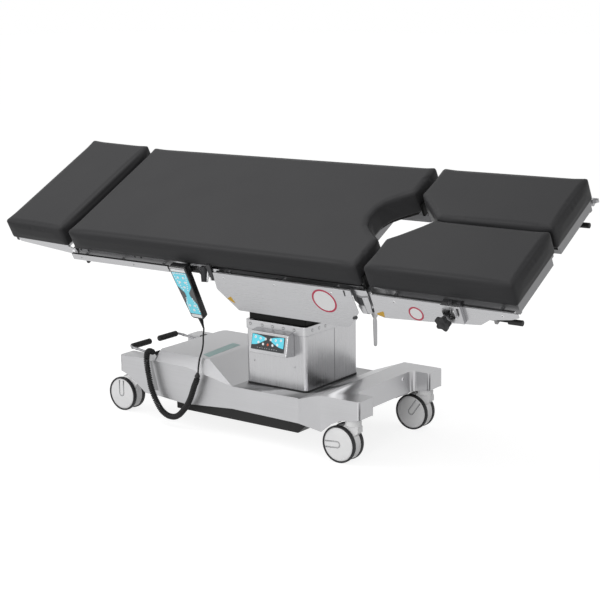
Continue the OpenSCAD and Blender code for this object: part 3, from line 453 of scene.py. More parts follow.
def combined(base, tools, operation):
    """The mesh of base after boolean steps with other meshes, all in the same units"""
    scene = bpy.context.scene
    target = bpy.data.objects.new("work", base)
    scene.collection.objects.link(target)
    others = []
    for mesh in tools:
        other = bpy.data.objects.new("work_tool", mesh)
        scene.collection.objects.link(other)
        others.append(other)
        step = target.modifiers.new("step", "BOOLEAN")
        step.operation = operation
        step.solver = "EXACT"
        step.object = other
    made = evaluated(target)
    for o in [target, *others]:
        bpy.data.objects.remove(o)
    return made


def thickened(mesh, wall):
    """A shell given a wall on its inner side"""
    target = bpy.data.objects.new("work", mesh)
    bpy.context.scene.collection.objects.link(target)
    step = target.modifiers.new("wall", "SOLIDIFY")
    step.thickness = wall
    step.offset = -1
    made = evaluated(target)
    bpy.data.objects.remove(target)
    return made


def to_mesh(bm):
    mesh = bpy.data.meshes.new("work")
    bm.to_mesh(mesh)
    bm.free()
    return mesh


def from_mesh(mesh):
    bm = bmesh.new()
    bm.from_mesh(mesh)
    return bm


def screw(bm, centre, axis, radius=4.0, height=1.6, index=0, recess=1):
    """A low domed head with a dark disc in its socket, painted shade in the hollow"""
    profile = [(0.001, height * 0.35), (radius * 0.42, height * 0.35), (radius * 0.46, height),
               (radius * 0.75, height * 0.9), (radius, height * 0.3), (radius, -0.3)]
    lathe(bm, profile, centre, axis, 20, index)
    start = Vector(centre)
    away = Vector(axis).normalized()
    rod(bm, start + away * height * 0.2, start + away * height * 0.5, radius * 0.42, segments=6,
        index=recess)


# Camera and cords

def build_camera():
    """The camera fitted to the photograph: angles in radians, distance in metres"""
    azimuth, elevation, roll, distance = 0.6413544, 0.2122223, -0.014422, 4.9293996
    level = math.cos(elevation)
    back = Vector((math.sin(azimuth) * level, -math.cos(azimuth) * level, math.sin(elevation)))
    right = Vector((math.cos(azimuth), math.sin(azimuth), 0))
    up = back.cross(right)
    x = math.cos(roll) * right + math.sin(roll) * up
    y = -math.sin(roll) * right + math.cos(roll) * up
    data = bpy.data.cameras.new("camera")
    data.sensor_width = 36
    data.lens = 36 * 1429.581 / 600
    data.clip_start, data.clip_end = 0.1, 60
    camera = bpy.data.objects.new("camera", data)
    target = FLOOR.translation + Vector((-0.008, 0, 0.4571088))
    turn = Matrix((x, y, back)).transposed().to_4x4()
    camera.matrix_world = Matrix.Translation(target + back * distance) @ turn
    bpy.context.scene.collection.objects.link(camera)
    bpy.context.scene.camera = camera


LEAD_ROUTE = [(-318.1, -152.4, 349.8), (-318.5, -151, 347), (-318.7, -151, 341), (-319, -154, 319),
              (-313.5, -162, 296.4), (-305.3, -178, 275.6), (-295.1, -205, 250.4), (-282, -227, 232),
              (-272.6, -241, 213), (-271.1, -245.4, 204.3)]
CURL_ROUTE = [(-271.15, -245.5, 204), (-272.5, -246, 195), (-279, -246.5, 179), (-286.6, -247, 164),
              (-294.4, -248, 141.4), (-304.3, -250, 116.1), (-319, -250.5, 91), (-338, -251, 68),
              (-358, -251, 49), (-381, -251, 38), (-411, -251, 38), (-438, -251, 51), (-457, -250, 71),
              (-471.5, -250, 94), (-487, -250, 129), (-495, -249, 162), (-503, -248, 197),
              (-511, -243, 222), (-518, -233, 239), (-525, -220, 247), (-529, -205, 247), (-530, -192, 241),
              (-528, -181, 235.5), (-523, -176, 233), (-516, -176, 233)]
CURLS = 84


def along(route, t):
    """A point on the smooth line through a route's points"""
    last = len(route) - 1
    i = min(int(t), last - 1)
    f = t - i
    a, b, c, d = (Vector(route[min(max(k, 0), last)]) for k in (i - 1, i, i + 1, i + 2))
    square = 2 * a - 5 * b + 4 * c - d
    cube = 3 * b - a - 3 * c + d
    return 0.5 * (2 * b + (c - a) * f + square * f * f + cube * f ** 3)


def heading(route, t):
    last = len(route) - 1
    return (along(route, min(t + 0.02, last)) - along(route, max(t - 0.02, 0))).normalized()


def curl_line(curls, steps, radius):
    lengths = [0.0]
    for a, b in zip(CURL_ROUTE, CURL_ROUTE[1:]):
        lengths.append(lengths[-1] + (Vector(b) - Vector(a)).length)
    start, end = 6.0, lengths[-1] - 14
    reference = Vector((1, 1, 1)).normalized()
    total = curls * steps
    run_in = 1.25 * steps
    line = [along(CURL_ROUTE, 0)]
    for k in range(total + 1):
        s = start + (end - start) * k / total
        i = max(j for j, n in enumerate(lengths[:-1]) if n <= s)
        t = i + (s - lengths[i]) / (lengths[i + 1] - lengths[i])
        h = heading(CURL_ROUTE, t)
        side = h.cross(reference).normalized()
        other = side.cross(h)
        ease = min(1.0, k / run_in, (total - k) / run_in)
        angle = 2 * math.pi * k / steps
        turn = math.cos(angle) * side + math.sin(angle) * other
        line.append(along(CURL_ROUTE, t) + radius * ease * turn)
    line.append(along(CURL_ROUTE, len(CURL_ROUTE) - 1))
    return line


def wire(name, points, radius, sides=4):
    data = bpy.data.curves.new(name, "CURVE")
    data.dimensions = "3D"
    data.bevel_depth = radius
    data.bevel_resolution = sides
    data.use_fill_caps = True
    data.resolution_u = 1
    spline = data.splines.new("POLY")
    spline.points.add(len(points) - 1)
    for p, v in zip(spline.points, points):
        p.co = (*v, 1)
    spline.use_smooth = True
    data.materials.append(FINISH["cord_rubber"])
    piece = bpy.data.objects.new(name, data)
    bpy.context.scene.collection.objects.link(piece)
    return piece, sum((b - a).length for a, b in zip(points, points[1:]))


def build_cords():
    steps = 60
    place = FLOOR @ MM
    line = [place @ along(LEAD_ROUTE, (len(LEAD_ROUTE) - 1) * k / steps) for k in range(steps + 1)]
    lead, length = wire("lead", line, 0.003)
    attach(lead, "base")
    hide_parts("cord_lead")
    curl = [place @ p for p in curl_line(CURLS, 14, 8.2)]
    coil, coil_length = wire("curled_cord", curl, 0.0028, 2)
    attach(coil, "base")
    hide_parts("cord_curl")
    bm = bmesh.new()
    lathe(bm, [(3.1, 0), (4.6, 0), (8.6, 9), (9.6, 10), (9.6, 15), (8.6, 16), (3.1, 16)],
          (-270.9, -245, 213), (-0.12, -0.06, -1), 28)
    place_piece(bm, "cord_collar", FLOOR, "black_plastic", "base")


# Mats

MAT_T = 78
HALF = 274
CUTOUT = [(422, 125), (377, 92), (344, 60), (330, 25)]
MAIN_OUTLINE = [(-833, -HALF), (422, -HALF), *[(x, -y) for x, y in CUTOUT],
                *CUTOUT[::-1], (422, HALF), (-833, HALF)]
HEAD_OUTLINE = [(-1152, -HALF), (-864, -HALF), (-864, HALF), (-1152, HALF)]
LEG_OUTLINE = [(448, -HALF), (968, -HALF), (968, -7), (566, -3), (448, -121)]


def pad(name, outline, radii, matrix, swell, thickness=MAT_T):
    """A firm foam pad in a taut cover: remeshed, swollen by a short cloth run, near its cut shape"""
    bm = bmesh.new()
    prism(bm, rounded(outline, radii, 6), -thickness, 0)
    edge = bpy.context.scene.table_sizes.mat_edge
    soften(bm, edge * 1000, 3, 50)
    bmesh.ops.transform(bm, matrix=MM, verts=bm.verts)
    mesh = to_mesh(bm)
    piece = bpy.data.objects.new(name, mesh)
    bpy.context.scene.collection.objects.link(piece)
    remesh = piece.modifiers.new("remesh", "REMESH")
    remesh.mode = "VOXEL"
    remesh.voxel_size = 0.005
    fine = evaluated(piece)
    piece.modifiers.clear()
    piece.data = fine
    rest = [v.co.copy() for v in fine.vertices]
    pin = piece.vertex_groups.new(name="pin")
    pin.add([i for i, co in enumerate(rest) if co.z < -thickness * 0.001 + 0.012], 1.0, "REPLACE")
    cloth = piece.modifiers.new("cloth", "CLOTH")
    cloth.settings.use_pressure = True
    cloth.settings.uniform_pressure_force = 4
    cloth.settings.tension_stiffness = 40
    cloth.settings.bending_stiffness = 6
    cloth.settings.vertex_group_mass = "pin"
    cloth.settings.quality = 4
    cloth.settings.effector_weights.gravity = 0
    cloth.collision_settings.use_collision = False
    scene = bpy.context.scene
    for step in range(1, 13):
        scene.frame_set(step)
    swollen = evaluated(piece)
    piece.modifiers.clear()
    scene.frame_set(1)
    cap = swell * 0.001
    for v, at in zip(swollen.vertices, rest):
        move = v.co - at
        if move.length > cap:
            v.co = at + move * (cap / move.length)
    piece.data = swollen
    bm = from_mesh(piece.data)
    low = -thickness * 0.001
    for v in bm.verts:
        v.co.z = max(v.co.z, low)
    bmesh.ops.transform(bm, matrix=matrix, verts=bm.verts)
    if matrix.determinant() < 0:
        bmesh.ops.reverse_faces(bm, faces=bm.faces)
    for f in bm.faces:
        f.smooth = True
    final = bpy.data.meshes.new(name)
    bm.to_mesh(final)
    bm.free()
    final.materials.append(FINISH["upholstery"])
    piece.data = final
    return piece


def build_mats(sizes):
    radii = [10, 10, 0, 22, 22, 18, 18, 22, 22, 0, 10, 10]
    body = pad("body_mat", MAIN_OUTLINE, radii, TOP, sizes.swell * 1000)
    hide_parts("back_mat", "mat_fold", "seat_mat")
    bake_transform(body)
    head = pad("head_pad", HEAD_OUTLINE, 10, HEAD @ Matrix.Translation((0, 0, 0.007)), sizes.swell * 1000)
    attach(head, "head")
    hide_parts("head_mat")
    for side, mirror in SIDES:
        leg = pad(f"leg_pad_{side}", LEG_OUTLINE, [10, 10, 10, 8, 8], TOP @ mirror, sizes.swell * 1000)
        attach(leg, f"leg_{side}")
        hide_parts(f"leg_mat_{side}")


# Base

BASE_PROFILE = [(-662, 162), (-662, 218.6), (-349, 218.6), (-138, 180), (144, 180), (257, 218.6),
                (411, 218.6), (411, 158), (339, 146), (299, 128), (260, 96), (163, 96), (-138, 100),
                (-356, 83), (-485, 93), (-541, 93), (-580, 121), (-632, 151)]
BASE_PLAN = [(-662, -222), (144, -222), (257, -255), (411, -255), (411, -170), (339, -170), (339, 170),
             (411, 170), (411, 255), (257, 255), (144, 222), (-662, 222), (-662, 150), (-508, 150),
             (-508, -150), (-662, -150)]
PLAN_RADII = [12, 20, 20, 10, 10, 22, 22, 10, 10, 20, 20, 12, 8, 10, 10, 8]


def build_base():
    bm = bmesh.new()
    prism(bm, rounded(BASE_PLAN, PLAN_RADII, 6), 40, 260)
    plan = to_mesh(bm)
    bm = bmesh.new()
    prism(bm, BASE_PROFILE, -300, 300, "y")
    profile = to_mesh(bm)
    body = combined(plan, [profile], "INTERSECT")
    bm = bmesh.new()
    corners = [(-508, s * 222, 170) for s in (-1, 1)]
    corners += [(-138, s * 222, z) for s in (-1, 1) for z in (170, 180)]
    corners += [(x, s * 222, 218.6) for s in (-1, 1) for x in (-508, -349)]
    corners += [(x, s * 185, 250) for s in (-1, 1) for x in (-508, -268)]
    bmesh.ops.convex_hull(bm, input=[bm.verts.new(c) for c in corners])
    bmesh.ops.dissolve_limit(bm, angle_limit=math.radians(1), verts=bm.verts, edges=bm.edges)
    nose = [e for e in bm.edges if all(v.co.x < -500 and v.co.z > 215 for v in e.verts)
            and abs(e.verts[0].co.z - e.verts[1].co.z) > 20]
    bmesh.ops.bevel(bm, geom=nose, offset=20, offset_type="OFFSET", segments=6, profile=0.5, affect="EDGES")
    roof = to_mesh(bm)
    body = combined(body, [roof], "UNION")
    cuts = []
    for s in (-1, 1):
        bm = bmesh.new()
        block(bm, (-512, s * 130 - 7, 176), (-490, s * 130 + 7, 219))
        cuts.append(to_mesh(bm))
    body = combined(body, cuts, "DIFFERENCE")
    bm = from_mesh(body)
    bmesh.ops.dissolve_limit(bm, angle_limit=math.radians(0.5), verts=bm.verts, edges=bm.edges)
    under = [f for f in bm.faces if f.normal.z < -0.3 and f.calc_center_median().z < 170]
    bmesh.ops.delete(bm, geom=under, context="FACES")
    soften(bm, 2.2, 3, 14)
    body = thickened(to_mesh(bm), 3)
    room = []
    for s in (-1, 1):
        bm = bmesh.new()
        rod(bm, (-640, s * 170, -5), (-640, s * 170, 129), 111, segments=64)
        wheel = to_mesh(bm)
        bm = bmesh.new()
        block(bm, (-663, -219, -10), (-508.5, 219, 140))
        room.append(combined(wheel, [to_mesh(bm)], "INTERSECT"))
    bm = from_mesh(combined(body, room, "DIFFERENCE"))
    # The flat plate at 180 mm takes the steel darkened as painted shade under the table top
    for f in bm.faces:
        f.material_index = int(f.normal.z > 0.99 and 179 < f.calc_center_median().z < 181)
    place_piece(bm, "base_shell", FLOOR, ["base_steel", "painted_shade_plate_steel"], "base",
                "base_cover", 30)
    # The seam between the arms and the body, a band of steel darkened as painted shade, and the socket by
    # the far foot lever
    bm = bmesh.new()
    for y in (-222, 222):
        low, high = sorted((y * 1.0015, y * 0.999))
        prism(bm, [(-515, 217), (-506, 216), (-478, 112), (-497, 110)], low, high, "y")
    place_piece(bm, "base_seam", FLOOR, "cheek_steel", "base")
    bm = bmesh.new()
    prism(bm, [(-529, 69), (-512, 62), (-510, 96), (-529, 102)], 219, 249, "z")
    prism(bm, [(-512, 74), (-498, 80), (-498, 86), (-512, 92)], 236, 249, "z")
    soften(bm, 1.5, 2)
    place_piece(bm, "pedal_stop", FLOOR, "dark_metal", "base")
    # Teal strip, crossbar screw and gland
    bm = bmesh.new()
    prism(bm, rounded([(-326, -148), (-287, -164), (-304, 33), (-346, 41)], 2, 3), 250.02, 250.5)
    place_piece(bm, "teal_strip", FLOOR, "teal_film", "base")
    bm = bmesh.new()
    screw(bm, (339.2, 112, 202), (1, 0, 0), 6, 2.5)
    place_piece(bm, "crossbar_screw", FLOOR, ["bright_steel", "dark_metal"], "base")
    bm = bmesh.new()
    lathe(bm, [(3, 15), (8.6, 15), (9.4, 12), (11.5, 4), (12.5, 3), (12.5, 0), (8, 0), (8, -10)],
          (-508.3, -176, 233), (-1, 0, 0), 32)
    place_piece(bm, "cord_gland", FLOOR, "black_plastic", "base", "cord_socket")
    bm = bmesh.new()
    prism(bm, [(-408, 55), (128, 55), (182, 105), (-408, 105)], -205, 205, "y")
    soften(bm, 3, 2)
    place_piece(bm, "under_tray", FLOOR, "tray_black", "base", "undertray")


# Column

def rectangle(w, d):
    return [(-w / 2, -d / 2), (w / 2, -d / 2), (w / 2, d / 2), (-w / 2, d / 2)]


def ring_wall(bm, w, d, radius, wall, low, high):
    """A standing tube of rounded rectangular section"""
    outer = rounded(rectangle(w, d), radius, 8)
    inner = rounded(rectangle(w - 2 * wall, d - 2 * wall), max(radius - wall, 1), 8)
    loops = []
    for outline in (outer, inner):
        verts = [bm.verts.new((p[0], p[1], low)) for p in outline]
        loops.append([bm.edges.new((verts[i - 1], verts[i])) for i in range(len(verts))])
    made = bmesh.ops.bridge_loops(bm, edges=loops[0] + loops[1])
    grown = bmesh.ops.extrude_face_region(bm, geom=made["faces"])
    moved = [g for g in grown["geom"] if isinstance(g, bmesh.types.BMVert)]
    bmesh.ops.translate(bm, verts=moved, vec=(0, 0, high - low))
    bmesh.ops.recalc_face_normals(bm, faces=bm.faces)


def build_column():
    bm = bmesh.new()
    ring_wall(bm, 252, 304, 12, 3, 186, 374.3)
    soften(bm, 0.8, 2, 60)
    for x in (-92, 81):
        screw(bm, (x, -152, 264), (0, -1, 0), 3.2, 1.4, 0, 1)
    prism(bm, [(13.2, 187), (14.8, 187), (14.8, 374), (13.2, 374)], 125.4, 126.25, "x", 1)
    place_piece(bm, "column_shell", FLOOR, ["column_steel", "dark_metal"], "base",
                "column_cover")
    bm = bmesh.new()
    ring_wall(bm, 260, 312, 16, 10, 374.5, 406.5)
    soften(bm, 1.6, 3, 60)
    spots = [((x, -156, 393), (0, -1, 0)) for x in (-104, -53, -9, 37, 82)]
    spots += [((130, y, 392), (1, 0, 0)) for y in (-118, -79, -43)]
    for centre, axis in spots:
        lathe(bm, [(0.001, 0.9), (3.4, 0.9), (3.8, 0.3)], centre, axis, 20, 0)
        lathe(bm, [(3.7, 0.15), (5.2, 0.15)], centre, axis, 20, 1)
    place_piece(bm, "column_band", FLOOR, ["plate_steel", "dark_metal"], "base",
                "column_collar")
    bm = bmesh.new()
    ring_wall(bm, 256, 308, 14, 6, 180.05, 186)
    place_piece(bm, "column_foot", FLOOR, "black_plastic", "base", "column_seal")
    bm = bmesh.new()
    ring_wall(bm, 222, 274, 5, 6, 122, 406.9)
    prism(bm, rounded(rectangle(240, 292), 10, 6), 406.9, 455)
    soften(bm, 2, 2, 60)
    place_piece(bm, "column_cap", FLOOR, "board_black", "top_stage", "column_top")


def build_panel():
    bm = bmesh.new()
    section = [(-152, 300), (-152, 374.2), (-156.3, 374.2), (-156.3, 384), (-184, 379), (-200, 306)]
    prism(bm, section, -79, 79, "x")
    soften(bm, 2.2, 3, 30)
    place_piece(bm, "panel_case", FLOOR, "plate_steel", "base", "control_box")
    # The face is drawn flat, its lower edge along X and its height along Y, and then leaned back
    lean = math.atan2(73, 16)
    face = FLOOR @ MM @ Matrix.Translation((0, -200.3, 306)) @ Matrix.Rotation(lean, 4, "X")
    bm = bmesh.new()
    prism(bm, rounded([(-70, 13), (67, 13), (67, 66), (-70, 66)], 2.5, 4), 0, 2.0, "z", 0)
    wings = [
        [(-68.5, 28), (-50, 30), (-30, 38), (-14, 47), (-8, 52), (-14, 57), (-30, 61), (-52, 64),
         (-68.5, 64.5)],
        [(65.5, 28), (48, 30), (28, 38), (12, 47), (6, 52), (12, 57), (28, 61), (50, 64), (65.5, 64.5)],
    ]
    for wing in wings:
        prism(bm, wing, 1.9, 2.15, "z", 1)
    key = [(0.001, 0.9), (3.6, 0.85), (4.4, 0.4), (4.4, -0.2)]
    for k in range(6):
        x = -54 + k * 21.4
        y = 52 + (2.5 if k in (0, 5) else 0)
        lathe(bm, key, (x, y, 2.1), (0, 0, 1), 20, 2)
        block(bm, (x - 1.6, y - 0.4, 2.9), (x + 1.6, y + 0.6, 3.12), 0)
    for k in range(5):
        y = 34 + (4 if k in (0, 4) else 0)
        lathe(bm, key, (-40 + k * 20, y, 2.1), (0, 0, 1), 20, 3 if k == 2 else 2)
    for k in range(9):
        block(bm, (-44 + k * 10, 20, 1.9), (-40 + k * 10, 20.8, 2.12), 2)
    bmesh.ops.recalc_face_normals(bm, faces=bm.faces)
    place_piece(bm, "panel_screen", face, ["screen_dark", "screen_cyan", "painted_glow_white", "icon_orange"],
                "base", "control_screen", millimetres=False)


# Casters

WHEEL_R = 62.5
TRAIL = 41
COWL_R = 60.5
CASTERS = {1: (364, -220), 2: (364, 220), 3: (-640, -170), 4: (-640, 170)}


def groove_outline(length, width, line):
    """A flat U, open at its left end"""
    def arc(radius):
        turned = [math.pi * k / 12 for k in range(13)]
        return [(radius * math.sin(a), -radius * math.cos(a)) for a in turned]

    outer = [(-length, -width / 2)] + arc(width / 2) + [(-length, width / 2)]
    inner = [(-length, -width / 2 + line)] + arc(width / 2 - line) + [(-length, width / 2 - line)]
    return outer + inner[::-1]


def build_casters():
    # The angle of each disc's U, on the near wheel and on the far one
    turns = {1: 5, 2: 235, 3: 270, 4: 200}
    for k, (x, y) in CASTERS.items():
        place = FLOOR @ Matrix.Translation((x * 0.001, y * 0.001, 0))
        bm = bmesh.new()
        lathe(bm, [(0.001, 196), (10, 196), (11, 195), (11, 158.2)], (0, 0, 0), (0, 0, 1), 32, 1)
        lathe(bm, [(11, 158), (24, 158), (27, 155), (27, 131), (25.5, 127), (9, 124), (0.001, 124)],
              (0, 0, 0), (0, 0, 1), 48)
        # The cowl between the wheels: round over the wheels, flat below, with a shoulder under the stem
        turned = [math.radians(a) for a in range(-50, 231, 10)]
        cowl = [(-TRAIL + COWL_R * math.cos(a), WHEEL_R + COWL_R * math.sin(a)) for a in turned]
        cowl = [c for c in cowl if not (c[0] > -24 and c[1] > 96)]
        first = next(n for n, c in enumerate(cowl) if c[0] < -24 and c[1] > 96)
        outline = cowl[:first] + [(27, 108), (26, 128), (-22, 131)] + cowl[first:]
        prism(bm, outline, -15.2, 15.2, "y")
        soften(bm, 2.2, 3, 50)
        place_piece(bm, f"caster_housing_{k}", place, ["caster_white", "bright_steel"], f"caster_{k}",
                    f"caster_fork_{k}")
        bm = bmesh.new()
        for s in (-1, 1):
            disc = [(0.001, 14.6), (30, 14.4), (50, 13.6), (54.5, 12.6), (56.6, 11), (57, 9.5), (57, 0.3),
                    (40, 0.0), (6.5, 0.0)]
            lathe(bm, disc, (-TRAIL, s * 15.8, WHEEL_R), (0, s, 0), 72)
            turn = math.radians(turns[k]) * (1 if s < 0 else -1)
            c, sn = math.cos(turn), math.sin(turn)
            for width, line, proud in ((24, 1.9, 30.62), (17, 0.8, 30.6)):
                groove = groove_outline(48, width, line)
                shape = [(-TRAIL + (u - 3) * c - v * sn, WHEEL_R + (u - 3) * sn + v * c) for u, v in groove]
                low, high = sorted((s * 29.6, s * proud))
                prism(bm, shape, low, high, "y", 1)
        rod(bm, (-TRAIL, -15.5, WHEEL_R), (-TRAIL, 15.5, WHEEL_R), 6, index=2)
        place_piece(bm, f"caster_discs_{k}", place, ["caster_white", "caster_line", "bright_steel"],
                    f"wheel_{k}", f"caster_wheel_{k}")
        bm = bmesh.new()
        for s in (-1, 1):
            lathe(bm, [(57.1, 0.4), (60.5, 0.4), (62, 1.6), (62.5, 4), (62.5, 11), (61.6, 13.6),
                       (59.5, 15), (57.6, 15.2), (57.1, 14.6), (57.1, 0.4)],
                  (-TRAIL, s * 15.8, WHEEL_R), (0, s, 0), 72)
        place_piece(bm, f"caster_tread_{k}", place, "tread_rubber", f"wheel_{k}",
                    f"caster_tyre_{k}")


def build_pedals():
    for k, s in ((1, -1), (2, 1)):
        y = s * 130
        bm = bmesh.new()
        rod(bm, (-470, y, 200), (-680, y, 222.6), 4.5)
        rod(bm, (-680, y, 222.6), (-693, y - s * 6, 224), 4.5)
        rod(bm, (-693, y - s * 6, 224), (-693, s * 28, 224), 4.5)
        ball(bm, (-693, y - s * 6, 224), 5.2)
        rod(bm, (-470, y - 22, 200), (-470, y + 22, 200), 5)
        rod(bm, (-470, y - 11, 200), (-470, y + 11, 200), 9)
        for at in (-660, -540):
            heights = [200 + (-470 - x) * 24 / 223 for x in (at, at - 7)]
            rod(bm, (at, y, heights[0]), (at - 7, y, heights[1]), 5.4)
        place_piece(bm, f"pedal_rod_{k}", FLOOR, "rod_steel", f"pedal_{k}",
                    f"pedal_lever_{k}")
        bm = bmesh.new()
        profile = [(0.001, 0), (8, 0), (10, 1.2), (11, 3.5)]
        for n in range(15):
            h = 6 + n * 5.9
            profile += [(11, h), (10.2, h + 1.2), (10.2, h + 2.2), (11, h + 3.4)]
        profile += [(11, 95), (10, 98), (6, 99), (4.6, 99)]
        lathe(bm, profile, (-693, s * 24, 224), (0, s, 0), 36)
        place_piece(bm, f"pedal_sleeve_{k}", FLOOR, "grip_rubber", f"pedal_{k}",
                    f"pedal_grip_{k}")


# Top frame

def build_rails():
    """Accessory rails with their spacers, and the steel covers below them"""
    for side, mirror in SIDES:
        top = TOP @ mirror
        bm = bmesh.new()
        block(bm, (-842, -290, -113.6), (-378, -280, -88.6))
        soften(bm, 1.2, 2)
        for x in (-788, -610, -418):
            rod(bm, (x, -280, -101.1), (x, -262, -101.1), 5, index=0)
        for x in (-796, -540):
            screw(bm, (x, -290, -101.1), (0, -1, 0), 4.2, 1.2)
        place_piece(bm, f"back_rail_{side}", top, ["rail_steel", "dark_metal"], "back")
        # Steel edge of the board with pairs of dark screws
        bm = bmesh.new()
        block(bm, (-820, -266, -90), (-215, -262.1, -78.6))
        soften(bm, 0.6, 1)
        for x in (-811, -774, -546, -516):
            screw(bm, (x, -266, -84.5), (0, -1, 0), 4.4, 2.0, 1, 1)
        place_piece(bm, f"back_edge_{side}", top, ["strip_steel", "dark_metal"], "back")
        bm = bmesh.new()
        block(bm, (-167, -285.5, -113.6), (382, -275.5, -88.6))
        soften(bm, 1.2, 2)
        for x in (-127, 107.5, 320):
            rod(bm, (x, -275.5, -101.1), (x, -262, -101.1), 5)
        for x in (-124, -106, 90, 107, 318):
            screw(bm, (x, -280.5, -88.6), (0, 0, 1), 4.2, 1.8, 1, 1)
        place_piece(bm, f"seat_rail_{side}", top, ["strip_steel", "dark_metal"], "seat")
        bm = bmesh.new()
        outline = [(-177, -89.6), (-188, -161), (-125, -246), (322, -246), (336, -240), (388, -178),
                   (383, -89.6)]
        prism(bm, rounded(outline, [3, 10, 10, 10, 10, 12, 3], 5), -288.5, -286, "y")
        soften(bm, 0.7, 2, 50)
        place_piece(bm, f"seat_plate_{side}", top, "plate_steel", "seat")
        bm = bmesh.new()
        for x in (-137, 78, 305):
            screw(bm, (x, -288.5, -109), (0, -1, 0), 3.8, 1.3, 0, 1)
        prism(bm, [(355, -92), (361, -91), (359, -114), (354.5, -115)], -289, -288.4, "y", 1)
        catch = rounded([(358, -199), (380, -191), (377, -201), (361, -207)], 3, 4)
        prism(bm, catch, -292.5, -288.4, "y", 1)
        place_piece(bm, f"seat_screws_{side}", top, ["bright_steel", "dark_metal"], "seat")
        # Plain marks where the photograph shows labels
        bm = bmesh.new()
        lathe(bm, [(0.001, 0.2), (22, 0.2), (22, 0)], (614, -292.8, -142.5), (0, -1, 0), 40, 2)
        lathe(bm, [(21, 0.35), (26.5, 0.35), (26.5, 0)], (614, -292.8, -142.5), (0, -1, 0), 40, 0)
        prism(bm, rounded([(458, -166.5), (492, -151), (490, -176.5)], 3, 4), -293.2, -292.75, "y", 1)
        place_piece(bm, f"leg_marks_{side}", top, ["mark_red", "mark_amber", "mark_white"], f"leg_{side}")
        bm = bmesh.new()
        lathe(bm, [(0.001, 0.2), (41, 0.2), (41, 0)], (265, -288.5, -147), (0, -1, 0), 48, 2)
        lathe(bm, [(40, 0.35), (46.5, 0.35), (46.5, 0)], (265, -288.5, -147), (0, -1, 0), 48, 0)
        prism(bm, rounded([(-158, -198), (-138, -187), (-126, -219)], 3, 4), -288.9, -288.45, "y", 1)
        place_piece(bm, f"seat_marks_{side}", top, ["mark_red", "mark_amber", "mark_white"], "seat")


def copy_node(node, name, materials, body, width=0.8, segments=2, sort=None):
    """A solid of the frame with its triangles joined up again and its edges rounded.
    sort picks a material from a face's middle, in the top's frame with Y taken as positive."""
    bm = from_mesh(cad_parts[node].data)
    bmesh.ops.scale(bm, verts=bm.verts, vec=(1000, 1000, 1000))
    bmesh.ops.remove_doubles(bm, verts=bm.verts, dist=0.01)
    bmesh.ops.dissolve_limit(bm, angle_limit=math.radians(0.6), verts=bm.verts, edges=bm.edges)
    soften(bm, width, segments, 40)
    if sort:
        to_top = (TOP @ MM).inverted() @ MM
        for f in bm.faces:
            at = to_top @ f.calc_center_median()
            f.material_index = sort(at.x, abs(at.y), at.z)
    return place_piece(bm, name, Matrix(), materials, body, node)


def leg_part(x, y, z):
    """The materials of a leg frame: cover, rail, board, inner bars"""
    if y > 289.9:
        return 0
    if y > 279.5:
        return 1
    return 2 if z > -88.7 else 3


def build_frames():
    copy_node("seat_frame", "seat_members", "frame_steel", "seat")
    copy_node("back_frame", "back_members", "frame_steel", "back")
    copy_node("head_frame", "head_members", "plate_steel", "head")
    for side in ("near", "far"):
        copy_node(f"leg_frame_{side}", f"leg_members_{side}",
                  ["plate_steel", "strip_steel", "board_black", "frame_steel"],
                  f"leg_{side}", sort=leg_part)
        # The hinge's outer faces take the steel darkened as painted shade
        copy_node(f"leg_hinge_{side}", f"leg_joint_{side}", ["frame_steel", "cheek_steel"],
                  f"leg_link_{side}", sort=lambda x, y, z: int(y > 263.5))
        copy_node(f"leg_release_{side}", f"release_pull_{side}", "grip_rubber", f"release_{side}",
                  1.2)
    copy_node("seat_board", "seat_panel", "board_black", "seat", 1.0)
    copy_node("back_board", "back_panel", "board_black", "back", 1.0)
    copy_node("tilt_yoke", "tilt_fork", "frame_steel", "top_stage")
    copy_node("cross_block", "tilt_cross", "frame_steel", "tilt_head")
    copy_node("rail_clamp", "clamp_jaw", "plate_steel", "clamp", 1.0)
    plain = {"base_chassis": "dark_metal", "battery_pack": "black_plastic", "lift_motor": "dark_metal",
             "column_mid": "column_steel"}
    for node, label in plain.items():
        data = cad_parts[node].data
        data.materials.clear()
        data.materials.append(FINISH[label])
    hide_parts("back_rails")
    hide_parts("seat_rails")
    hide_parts("seat_side_covers")


